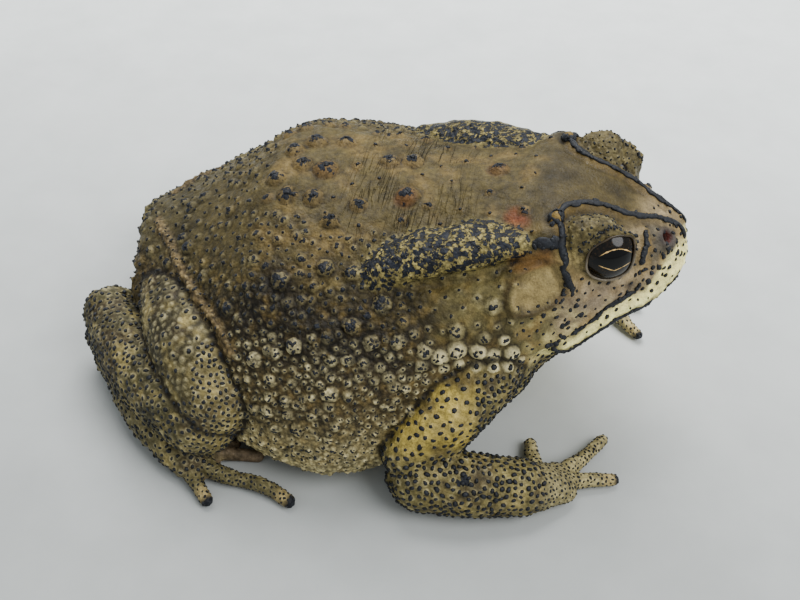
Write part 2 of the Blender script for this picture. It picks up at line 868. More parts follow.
@dataclass
class SkinForm:
    """Fuses every loft into one closed skin and raises its relief."""

    trunk: Trunk = field(default_factory=Trunk)
    limbs: Limbs = field(default_factory=Limbs)
    glands: Glands = field(default_factory=Glands)
    eye: EyeFrame = field(default_factory=EyeFrame)
    lid_centre: Row = (85.2, 10.7, 42.7)
    lid_radii: Row = (6.7, 6.5, 7.6)
    lid_low: float = 5.7
    lid_front_top: float = 3.2
    lid_crown: Row = (26.2, 0.50)
    jaw_tuck: float = 1.3
    temple_pushes: Table = ((77.6, 12.4, 46, 1.9, 3.2), (78.6, 9.3, 47.4, 0.9, 2.5), (75.6, 14.6, 44.6, 1.2, 3))
    crown_hollow: float = 0.7
    voxel: float = 0.34
    most_triangles: int = 194000
    sole: float = 0.06
    mouth: Table = ((80.6, 19.4, 27), (81.3, 18.9, 25.8), (82.6, 18, 25), (84.6, 16.8, 25.7), (86.4, 15.7, 27.1),
                    (88.3, 14.5, 28.5), (90.2, 13.2, 29.6), (92.2, 11.9, 30.4), (94.2, 10.5, 30.9), (95.8, 9.1, 31.8),
                    (96.7, 8.3, 32.5), (97.5, 7.5, 33.3), (98.4, 6.4, 34), (99.4, 4.6, 34.4), (100.3, 0, 35.2))
    brow: Table = ((77.8, 11.6, 47.9), (78.5, 9.9, 48), (79.5, 8.3, 47.7), (80.5, 7.5, 47.6), (82.5, 6.3, 47.4),
                   (84.5, 5.7, 46.9), (86.5, 5.4, 46.5), (88.5, 5.3, 46.1), (89.5, 5, 45.6), (90.5, 4.6, 45.2),
                   (92.5, 3.6, 44.5), (94.5, 2.6, 43.8), (96, 2.1, 43.1), (97.4, 1.6, 42.2), (98.6, 1.7, 41),
                   (99.3, 2, 39.8))
    behind_eye: Table = ((77.8, 11.6, 47.9), (78.4, 12.8, 47), (78.9, 14, 45.6), (79.4, 15.2, 43.9),
                         (80.1, 16.1, 42.2), (81.1, 16.8, 40.3), (82.1, 17.1, 38.2))
    before_eye: Table = ((92.4, 6.2, 43.9), (92.6, 7.2, 43.1), (92.9, 8, 42.2), (92.7, 9.1, 41), (92.5, 10, 39.4))
    eardrum: Row = (77, 18.9, 38.9)
    eardrum_radii: Row = (3.2, 3.9)
    nostril: Row = (96.2, 4.5, 41.5)
    ear_fold: Table = ((78.4, 16.8, 42.6), (76.4, 17, 42.9), (72.8, 17.4, 42.2), (69.4, 19, 40.2),
                       (64, 20.2, 38.6), (58, 21.4, 37.2), (51, 23.8, 35.8))
    throat_fold: Table = ((73.6, 19, 40.4), (73.2, 21.4, 36.6), (73.6, 22.8, 32.6), (75.2, 22.4, 29))
    side_fold: Table = ((71.2, 19.6, 40), (70.2, 22.8, 35.8), (70.4, 24.4, 31.6))
    known_warts: Table = (
        (27.6, -7.6, 50, 1.8), (29.9, 0.9, 50, 1.8), (37.5, -3.5, 50, 2.2), (33.5, -3.2, 50, 1.8),
        (33.8, 5.1, 50, 2.1), (39.1, 6.9, 50, 1.8), (47.7, 2.1, 50, 1.9), (51.5, 3, 50, 2), (52.5, -7.7, 50, 2.1),
        (66.7, 1.2, 50, 1.7), (71.4, -10, 50, 1.1), (56, -9.6, 50, 0.9), (26.8, -13.5, 50, 1.2),
        (16.4, -3.4, 50, 1.4), (37.3, -12, 50, 1.9), (32.5, -12.4, 50, 1.9), (45.1, -11.5, 50, 1.6),
        (41.7, -16.3, 50, 2.1), (33.9, -10.4, 43.5, 0.9), (27.6, -13.5, 40.9, 0.8), (33.6, -15, 41.8, 0.9),
        (36.8, -15.2, 41.8, 0.8), (41.8, -13.4, 42.5, 0.5), (40.1, -12.8, 42.7, 0.5), (46, -14.2, 42.1, 0.7),
        (22.4, -12.9, 37.1, 0.9), (25.5, -14.6, 38.9, 0.5), (29.2, -17.3, 39.9, 1.1), (31, -15.9, 41.1, 0.5),
        (33.3, -18.4, 40.2, 1.2), (36.2, -17.4, 40.8, 0.9), (47.1, -16.6, 41, 0.6), (39.1, -18.2, 40.5, 0.7),
        (27.3, -18.7, 38, 0.5), (35.2, -19.8, 39.5, 0.5), (32.2, -20.6, 38.7, 0.5), (23.7, -19.7, 34.4, 0.7),
        (29.7, -21.3, 37.5, 1.2), (38, -21, 38.9, 1.2), (42.4, -21.6, 38.6, 2.1), (46.7, -21.6, 38.4, 1.8),
        (35.2, -24.2, 36.5, 2.1), (38.3, -23, 37.6, 0.9), (30.1, -23.3, 36, 0.8), (25.8, -23.6, 33.1, 1),
        (32.5, -25.1, 35.2, 0.7), (41.1, -24.5, 36.6, 1), (43.8, -24.7, 36.4, 0.9), (39.4, -26.2, 35.2, 1),
        (45.8, -25.3, 35.8, 0.8), (37.2, -26.8, 34.4, 1.2), (34.8, -27.6, 33.3, 1), (33.1, -27.6, 32.9, 0.7),
        (26.6, -26.5, 30.7, 1.4), (52.4, -24.5, 35.3, 2.1), (56.7, -22.6, 36.5, 0.9), (48.1, -28.2, 32.8, 1.9),
        (45, -28.4, 33.1, 0.8), (42.5, -29.1, 32.5, 0.7), (38.8, -29.2, 32.2, 0.8), (41.1, -27.4, 34.2, 0.7),
        (45, -26.9, 34.5, 0.6), (47.4, -26.5, 34.6, 0.5), (49.3, -26, 34.7, 0.6), (43.3, -27.9, 33.7, 0.5),
        (39.9, -28.2, 33.3, 0.8), (51.2, -27.4, 32.8, 0.7), (53.3, -27, 32.7, 0.6), (56.2, -25.8, 33.3, 1.1),
        (61, -23.6, 35, 0.5), (63.6, -23.9, 34.4, 0.5), (68.2, -24, 33.5, 0.6), (67.4, -21.5, 37.3, 0.8),
        (70.3, -22, 36.4, 1.5), (64.9, -25.1, 32.3, 1.6), (60.2, -25.7, 32.5, 0.7), (58.3, -26.7, 31.7, 0.9),
        (62.6, -25.5, 32.2, 0.5), (69.6, -24.7, 31.4, 1.1), (72.8, -23.7, 30.9, 1), (42, -30.5, 30.8, 1),
        (44.8, -30.2, 31.1, 1.3), (39.3, -31.5, 29.5, 2), (34.8, -32, 27.8, 1), (36.6, -32.2, 27.9, 1.1),
        (32.6, -32.6, 25.9, 1.7), (51.7, -29.2, 30.5, 1.6), (55.9, -28, 30.6, 1.6), (53.8, -28.1, 31.2, 0.7),
        (60.4, -27.7, 29.4, 1.5), (61.1, -26.8, 30.6, 0.5), (62.9, -27.6, 28.2, 1.5), (65.6, -26.4, 29.4, 1.7),
        (69, -25.7, 29, 1.5), (71.3, -25.1, 28.2, 1.5), (74.1, -23.6, 27.8, 1.6), (48.5, -31.7, 28.3, 1.2),
        (45.7, -32.3, 28.3, 1.1), (43.5, -32.5, 28.2, 0.7), (50.9, -31.3, 27.8, 1), (55, -29.7, 28.5, 0.8),
        (53.6, -30.8, 27.2, 0.9), (52.9, -29.9, 29, 0.5), (59.9, -29, 26.9, 1.3), (56.7, -29.1, 28.8, 0.5),
        (46.2, -33.7, 25.9, 1), (44.5, -34.5, 24.8, 0.8), (50.5, -32.8, 25.5, 0.9), (52.9, -32.3, 25, 0.9),
        (55.2, -31.3, 25.5, 1.1), (48.9, -33.6, 25, 0.8), (39.7, -34.8, 24, 0.9), (59.7, -29.8, 25.2, 0.7),
        (42.1, -33.4, 26.9, 0.7), (57.2, -30.7, 25.3, 0.7), (60.9, -29.7, 24.2, 0.8), (42.2, 15.7, 41.6, 0.5),
        (44.2, 16.5, 41.2, 0.7), (46, 19.1, 39.9, 0.5), (28.1, 12, 41.8, 0.8), (40.7, -9.7, 43.6, 0.6),
        (66.4, -5, 45.9, 0.9), (70, 11.2, 45, 0.8),
        (43, 12.2, 42.8, 0.9), (45.4, 11.9, 42.9, 0.8), (47.2, 13.7, 42.2, 0.8), (48.9, 14.8, 41.8, 0.8),
        (33.8, 13.1, 42.6, 1.4), (29.8, 10.7, 42.9, 1.6), (27.4, 8.3, 42.6, 1.5), (23.7, 7, 40.2, 1.3),
        (21.1, 7, 38, 1.1), (17.8, 7.3, 35.6, 1.1), (13.9, 7.5, 33, 1.1), (10.6, 6.4, 31.2, 1),
        (9, 2.2, 31.1, 1), (36.5, 13.8, 42.4, 1.3), (67, -9.6, 45, 0.5),
        (66.2, -27, 27, 1.1), (68.8, -26.6, 26.6, 1.1), (71.5, -25.9, 26.2, 1.2), (74, -24.8, 25.6, 1.2),
        (76, -23.2, 25.6, 1), (64, -28.4, 26.4, 1),
    )
    rusty: Table = ((37.5, -3.5, 44.6, 0.25), (52.5, -7.7, 44.8, 0.45), (71.4, -10, 45.4, 0.45),
                    (66.7, 1.2, 46.6, 0.3), (72.6, -11.6, 44.9, 0.4))
    orbit_rear: Row = (80.6, 15.4, 41.6)
    blotches: Table = ((67.7, -35.8, 12.9, 1.9), (69.5, -37.9, 10.7, 1.6))
    warts: list[Wart] = field(default_factory=list)

    def shells(self) -> list[tuple[Region, Solid]]:
        """Lofts every part of the body.

        Returns:
            The region and the closed mesh of each.
        """
        made = [(Region.TRUNK, self.trunk.mesh())]
        for side in SIDES:
            made.append((Region.LID, self.lid(side)))
            made += self.glands.shells(self.trunk, side)
            made += self.limbs.shells(side)
        return made

    def lid(self, side: int) -> Solid:
        """Makes the hood over one eye: lower near the crown, steeper in front and shallow below the eye.

        Args:
            side: 1 for the left side, -1 for the right one.

        Returns:
            The closed mesh.
        """
        x, y, z = self.lid_centre
        long_half, wide, high = self.lid_radii

        def place(along: Array, around: Array) -> Array:
            """Places vertices.

            Args:
                along: Shares from end to end.
                around: Angles round it in radians.

            Returns:
                The places on the hood.
            """
            forward, out, up = sphere(along, around).T
            reach = np.where(forward > 0, long_half + (self.lid_front_top - long_half) * grow(up, -0.5, 0.75),
                             long_half)
            spot = np.stack([x + forward * reach, y + out * wide, z + up * np.where(up > 0, high, self.lid_low)],
                            axis=1)
            start, share = self.lid_crown
            inward = np.array([0, -0.684, 0.73])
            past = np.maximum(spot @ inward - start, 0)
            spot -= (past * (1 - share))[:, None] * inward
            return spot * (1, side, 1)

        return shaped_ball(48, 36, place)

    def shape_head(self, sheet: SkinSheet, trunk: Array) -> None:
        """Lifts the temples, hollows the crown, tucks the lower jaw in and flattens the rump.

        Args:
            sheet: The skin to move.
            trunk: How much of each vertex is the trunk's.
        """
        points = sheet.points
        side = np.where(points[:, 1] < 0, -1, 1)
        shift = np.zeros_like(points)
        left = folded(points)
        for x, y, z, push, radius in self.temple_pushes:
            shift += push * bell(lengths(left - (x, y, z)), 0, radius)[:, None] * (0.14, 0.715, 0.684)
        crown = np.exp(-(((points[:, 0] - 86) / 8) ** 2) - (points[:, 1] / 4) ** 2)
        shift[:, 2] -= self.crown_hollow * crown * grow(points[:, 2], 38, 42)
        below = grow(-self.over_mouth(points), 0.15, 1.3) * grow(points[:, 0], 76, 80.5)
        points += shift * np.stack([np.ones(sheet.count), side, np.ones(sheet.count)], axis=1)
        points -= sheet.normals * (self.jaw_tuck * below * trunk)[:, None]
        rear = fade(points[:, 0], 0, 7) * grow(points[:, 2], 13, 18)
        points[:, 0] += 1.3 * rear * (np.abs(points[:, 1]) < 13.5)
        sheet.write()

    def fuse(self) -> tuple[Thing, KDTree, list[Region]]:
        """Fuses the lofts.

        Returns:
            The object, a search tree of the lofts' vertices, and the region of each of those.
        """
        whole = bmesh.new()
        regions: list[Region] = []
        spots: list[Vector] = []
        for region, shell in self.shells():
            spots += [vertex.co.copy() for vertex in shell.verts]
            regions += [region] * len(shell.verts)
            pour(shell, whole)
        tree = KDTree(len(spots))
        for index, spot in enumerate(spots):
            tree.insert(spot, index)
        tree.balance()
        thing = as_object(whole, "toad_skin")
        remesh = thing.modifiers.new("fuse", "REMESH")
        remesh.mode = "VOXEL"
        remesh.voxel_size = self.voxel
        apply_modifiers(thing)
        return thing, tree, regions

    def region_weights(self, sheet: SkinSheet, tree: KDTree, regions: list[Region]) -> dict[Region, Array]:
        """Gives every vertex its share of each region, soft at their borders."""
        nearest = np.array([regions[tree.find(spot)[1]].value for spot in sheet.points])
        return {region: sheet.blur((nearest == region.value).astype(float), 6) for region in Region}

    def shape_lids(self, sheet: SkinSheet) -> Array:
        """Moulds the lids to the eyeballs and sinks the skin inside their rims.

        Args:
            sheet: The skin to move.

        Returns:
            How much of each vertex belongs to the sunk skin under an eyeball.
        """
        sunk = np.zeros(sheet.count)
        for side in SIDES:
            centre, axes = self.eye.centre(side), self.eye.axes(side)
            offset = sheet.points - centre
            reach = lengths(offset)
            local = (offset / reach[:, None]) @ axes.T
            out = np.arccos(np.clip(local[:, 2], -1, 1))
            around = np.arctan2(local[:, 1], local[:, 0])
            rim = self.eye.rim_at(around)
            near = (reach < 9.5) & (out < rim + 0.75)
            upper = grow(np.sin(around), -0.2, 0.6)
            lip = self.eye.radius + 0.22 + 0.40 * upper
            blend = grow(out - rim, 0, 0.40)
            shaped = lip + (reach - lip) * blend
            shaped = np.maximum(shaped, self.eye.reach(around, out) + 0.25)
            inside = out < rim
            shaped = np.where(inside, self.eye.radius - 0.9, shaped)
            sheet.points[near] = (centre + offset * (shaped / reach)[:, None])[near]
            sunk = np.maximum(sunk, np.where(near & inside, 1, 0))
        return sunk

    def head_relief(self, points: Array) -> Array:
        """Raises crests, lips, folds, nostrils and eardrums over the smooth head.

        Args:
            points: Places on the head.

        Returns:
            The height that each place is raised by.
        """
        left = folded(points)
        height = np.zeros(len(points))
        for path, half, rise in ((self.brow, 0.9, 0.50), (self.behind_eye, 0.9, 0.55), (self.before_eye, 0.7, 0.4)):
            distance, share = path_distance(left, path)
            height += rise * bell(distance, 0, half) * grow(1.02 - share, 0, 0.12) - 0.3 * bell(distance, 1.5, 0.6)
        distance, _ = path_distance(left, self.mouth)
        height += 0.30 * bell(distance, 0, 0.5)
        above = self.over_mouth(left) > 0
        height += bell(distance, 1.1, 0.75) * np.where(above, 0.38, 0.12) * grow(left[:, 0], 80, 83)
        distance = lengths(left - self.nostril)
        height += 0.40 * bell(distance, 1.35, 0.5) - 1.7 * bell(distance, 0, 0.86)
        q = self.drum_share(left)
        near = lengths(left - self.eardrum) < 8
        height += near * (0.42 * bell(q, 1.10, 0.13) - 0.40 * grow(1 - q, 0, 0.22))
        for path, half, rise in ((self.ear_fold, 0.9, -0.75), (self.throat_fold, 0.75, 0.65),
                                 (self.side_fold, 0.8, 0.6)):
            distance, share = path_distance(left, path)
            height += rise * bell(distance, 0, half) * grow(share, 0, 0.12) * grow(1 - share, 0, 0.25)
        return height

    def over_mouth(self, points: Array) -> Array:
        """Gives how far places of the left side lie above the line of the mouth."""
        line = np.array(self.mouth)
        return points[:, 2] - np.interp(points[:, 0], line[:, 0], line[:, 2])

    def drum_share(self, points: Array) -> Array:
        """Gives how far places of the left side lie from the eardrum's middle, 1 at its rim.

        Args:
            points: The places.

        Returns:
            The distances as shares.
        """
        offset = points - self.eardrum
        across, down = self.eardrum_radii
        return np.hypot(offset @ (0.84, 0.27, -0.12) / across, offset @ (0.10, 0.36, -0.93) / down)

    def nape(self, points: Array) -> Array:
        """Gives how strongly the nape's cross wrinkles show at places."""
        here = grow(points[:, 0], 38, 50) * fade(points[:, 0], 56, 70)
        return here * grow(points[:, 2], 38, 43) * grow(blob_noise(points, 6, 35), -0.7, 0.4)

    def body_relief(self, points: Array, weights: dict[Region, Array]) -> Array:
        """Gives the height of lumps, neck wrinkles and folds over the smooth body.

        Args:
            points: The places.
            weights: Share of each region at them.

        Returns:
            The heights in millimetres.
        """
        flank = self.trunk.flank(points) * weights[Region.TRUNK]
        height = 0.26 * layered_noise(points, 5, 11) + (0.14 + 0.16 * flank) * layered_noise(points, 1.7, 21)
        line = blob_noise(points * (1, 0.20, 0.4), 1.3, 31) + 0.35 * blob_noise(points, 2.6, 33)
        height -= 0.24 * self.nape(points) * weights[Region.TRUNK] * bell(line, 0, 0.2)
        height += weights[Region.FOLD] * 0.38 * blob_noise(points, 1.9, 43)
        height *= 1 - 0.65 * np.clip(weights[Region.TRUNK] * grow(points[:, 0], 72, 78), 0, 1)
        return height + weights[Region.GLAND] * 0.22 * blob_noise(points, 1.5, 41)

    def zone_of(self, points: Array, normals: Array, names: Array) -> list[Zone]:
        """Finds the wart zone of places.

        Args:
            points: Places on the skin.
            normals: The skin's directions there.
            names: The value of the region of each place.

        Returns:
            One zone for each place.
        """
        lean = self.trunk.lean(points)
        zones = []
        plain = {Region.THIGH: Zone.THIGH, Region.SHANK: Zone.LEG, Region.FOOT: Zone.LEG, Region.TOE: Zone.DIGIT,
                 Region.WEB: Zone.NONE, Region.UPPER_ARM: Zone.ARM, Region.FOREARM: Zone.LIMB,
                 Region.HAND: Zone.DIGIT, Region.FINGER: Zone.DIGIT, Region.LID: Zone.LID, Region.GLAND: Zone.NONE,
                 Region.FOLD: Zone.RIDGE}
        for (x, y, z), normal, angle, value in zip(points, normals, lean, names):
            region = Region(value)
            y = abs(y)
            if region is not Region.TRUNK:
                zone = plain[region]
                if zone is Zone.ARM and (z < 13 or x > 69.5):
                    zone = Zone.LIMB
                if zone in (Zone.LEG, Zone.THIGH) and x > 22 and y > 30:
                    zone = Zone.KNEE
                if region in (Region.THIGH, Region.SHANK, Region.FOREARM) and normal[2] < -0.6:
                    zone = Zone.NONE
                if region is Region.LID and (z < 44.6 or x > 91.5):
                    zone = Zone.NONE
                if region is Region.TOE and y < 38:
                    zone = Zone.NONE
                zones.append(zone)
                continue
            front = x - 0.11 * z
            if front > 72 and z > 44:
                zones.append(Zone.NONE)
            elif front > 70 and angle > 30 and z > 35.5:
                zones.append(Zone.NONE if x < 83 else Zone.CHEEK)
            elif front > 70 and angle > -6:
                zones.append(Zone.SHOULDER if front < 73 and z < 31 else Zone.CHEEK)
            elif front > 70 or (angle < -15 and x > 60):
                zones.append(Zone.LIMB if y > 11 + 3 * math.sin(x + 0.7 * z) and z < 30 else Zone.THROAT)
            elif angle < -4:
                zones.append(Zone.BELLY)
            elif x < 27:
                zones.append(Zone.RUMP)
            elif angle > 68 or (angle > 56 and x > 57):
                zones.append(Zone.BACK)
            elif angle > 38 and x < 57:
                zones.append(Zone.SIDE)
            elif x > 57 and angle > 37:
                zones.append(Zone.NECK)
            elif x > 57 and z > 28.5:
                zones.append(Zone.SHOULDER)
            else:
                zones.append(Zone.FLANK if z > 13 else Zone.LOW)
        return zones

    def scatter_warts(self, sheet: SkinSheet, names: Array, seed: int = 5) -> None:
        """Throws warts over the skin, each kept clear of those already there.

        Args:
            sheet: The skin.
            names: Number of the region at each vertex.
            seed: Start of the random draws.
        """
        rng = np.random.default_rng(seed)
        tree = KDTree(sheet.count)
        for index, spot in enumerate(sheet.points):
            tree.insert(spot, index)
        tree.balance()
        known = [tree.find(row[:3])[1] for row in self.known_warts]
        order = np.concatenate([np.array(known), rng.permutation(sheet.count)[:130000]])
        zones = self.zone_of(sheet.points[order], sheet.normals[order], names[order])
        shares = rng.random(len(order)) ** 2
        x, y, z = sheet.points[order].T
        shares[(y < 10) & (z > 24.5) & (x > 22) & (x < 76)] *= 0.35
        far = (y > 8) & (z > 36) & (x < 56)
        shares[far] = np.maximum(shares[far], 0.45)
        cells: dict[tuple[int, int, int], list[tuple[Array, float, float]]] = {}
        for place, (index, zone, share) in enumerate(zip(order, zones, shares)):
            spec = zone.value
            measured = place < len(known)
            if spec.greatest <= 0:
                continue
            spot = sheet.points[index]
            radius = self.known_warts[place][3] if measured else spec.least + (spec.greatest - spec.least) * share
            room = spec.spacing * (0.62 + 0.38 * radius / spec.greatest)
            key = tuple(int(value) for value in np.floor(spot / 5.4))
            around = itertools.product(*((k - 1, k, k + 1) for k in key))
            if not measured and any(np.linalg.norm(spot - other) < max(0.5 * (room + gap), size + 0.7 * radius)
                                    for cell in around for other, gap, size in cells.get(cell, ())):
                continue
            cells.setdefault(key, []).append((spot, room, radius))
            self.warts.append(Wart(spot.copy(), sheet.normals[index].copy(), radius, spec.height * radius, zone))

    def wart_relief(self, sheet: SkinSheet) -> tuple[Array, Array, Array]:
        """Measures the warts at every vertex.

        Args:
            sheet: The skin.

        Returns:
            The height that warts add, the distance to the nearest wart as a share of its radius,
            and that wart's number.
        """
        tree = KDTree(len(self.warts))
        for index, wart in enumerate(self.warts):
            tree.insert(wart.spot, index)
        tree.balance()
        found = [tree.find(spot) for spot in sheet.points]
        number = np.array([item[1] for item in found])
        radii = np.array([wart.radius for wart in self.warts])[number]
        tall = np.array([wart.height for wart in self.warts])[number]
        q = np.array([item[2] for item in found]) / radii
        dome = np.sqrt(np.clip(1 - q**2, 0, 1)) * 0.6 + np.clip(1 - q**2, 0, 1) ** 2 * 0.4
        moat = -0.10 * bell(q, 1.18, 0.2)
        return tall * (dome + moat), q, number

    def build(self) -> tuple[Thing, "SkinMaps"]:
        """Makes the skin.

        Returns:
            The skin's object, and what its colours are worked out from.
        """
        thing, tree, regions = self.fuse()
        sheet = SkinSheet(thing)
        LOG.info("fused skin: %d vertices", sheet.count)
        weights = self.region_weights(sheet, tree, regions)
        names = np.array([region.value for region in Region])[np.argmax([weights[r] for r in Region], axis=0)]
        sheet.relax(4)
        self.shape_head(sheet, weights[Region.TRUNK])
        sunk = self.shape_lids(sheet)
        sheet.write()
        smooth_normals = unit(sheet.blur(sheet.normals, 3))
        front = sheet.points[:, 0] > 47
        relief = self.body_relief(sheet.points, weights)
        relief[front] += self.head_relief(sheet.points[front])
        self.scatter_warts(sheet, names)
        LOG.info("warts: %d", len(self.warts))
        rise, q, number = self.wart_relief(sheet)
        height = (relief + rise) * (1 - sunk) * grow(sheet.points[:, 2], 0.5, 3)
        sheet.points += smooth_normals * height[:, None]
        sheet.points[:, 2] = np.maximum(sheet.points[:, 2], self.sole)
        sheet.write()
        return thing, SkinMaps(self, sheet, weights, q, number, sunk)

    def thin_out(self, thing: Thing) -> None:
        """Brings the finished skin under its limit of triangles, flat places first.

        Args:
            thing: The skin's object.
        """
        corners = sum(len(face.vertices) - 2 for face in thing.data.polygons)
        step = thing.modifiers.new("thin", "DECIMATE")
        step.ratio = min(1, self.most_triangles / corners)
        apply_modifiers(thing)
        LOG.info("skin: %d triangles of %d kept", len(thing.data.polygons), corners)


# Colours of the skin


@dataclass
class SkinPaint:
    """Colours of the skin by place, as screen colours."""

    crown: Row = (62, 53, 27)
    back: Row = (78, 68, 37)
    rump: Row = (67, 60, 35)
    flank: Row = (36, 30, 17)
    neck: Row = (96, 87, 52)
    belly: Row = (176, 162, 112)
    throat: Row = (186, 170, 112)
    cheek: Row = (158, 140, 106)
    gland: Row = (140, 127, 75)
    lid: Row = (89, 79, 47)
    limb: Row = (110, 100, 58)
    arm: Row = (178, 156, 74)
    shank: Row = (58, 54, 31)
    thigh: Row = (53, 48, 28)
    knee: Row = (134, 120, 72)
    digit: Row = (158, 146, 100)
    toe: Row = (90, 83, 52)
    hand: Row = (128, 118, 80)
    low: Row = (150, 136, 92)
    snout: Row = (68, 64, 54)
    web: Row = (96, 80, 62)
    fold: Row = (98, 82, 52)
    cream: Row = (190, 179, 134)
    lip: Row = (255, 243, 160)
    rust: Row = (126, 56, 26)
    dirt: Row = (20, 15, 8)
    horn: Row = (18, 19, 24)
    pore: Row = (66, 20, 12)
    bronze: Row = (78, 66, 38)
    ochre: Row = (132, 110, 58)
    tan: Row = (150, 122, 66)
    butter: Row = (206, 190, 126)
    mauve: Row = (112, 98, 88)
    umber: Row = (52, 40, 24)
    straw: Row = (170, 152, 92)
    brass: Row = (124, 102, 56)
    bark: Row = (100, 80, 46)
    edge: Row = (128, 104, 52)
    amber: Row = (126, 90, 46)
    dusk: Row = (62, 56, 54)
    drum: Row = (144, 126, 80)
    drum_rim: Row = (58, 44, 22)
    orbit: Row = (176, 156, 100)
    sole: Row = (128, 108, 88)
    digit_end: Row = (176, 156, 104)


PALE = {Zone.SIDE: 0.18, Zone.LOW: 0.85, Zone.FLANK: 0.74, Zone.SHOULDER: 0.80, Zone.BELLY: 0.85, Zone.RUMP: 0.16,
        Zone.BACK: 0.08, Zone.NECK: 0.40, Zone.LIMB: 0.45, Zone.ARM: 0.25, Zone.LEG: 0.45, Zone.THIGH: 0.42,
        Zone.KNEE: 0.85, Zone.CHEEK: 0.15, Zone.LID: 0.20, Zone.THROAT: 0.50, Zone.RIDGE: 0.12, Zone.DIGIT: 0.35}


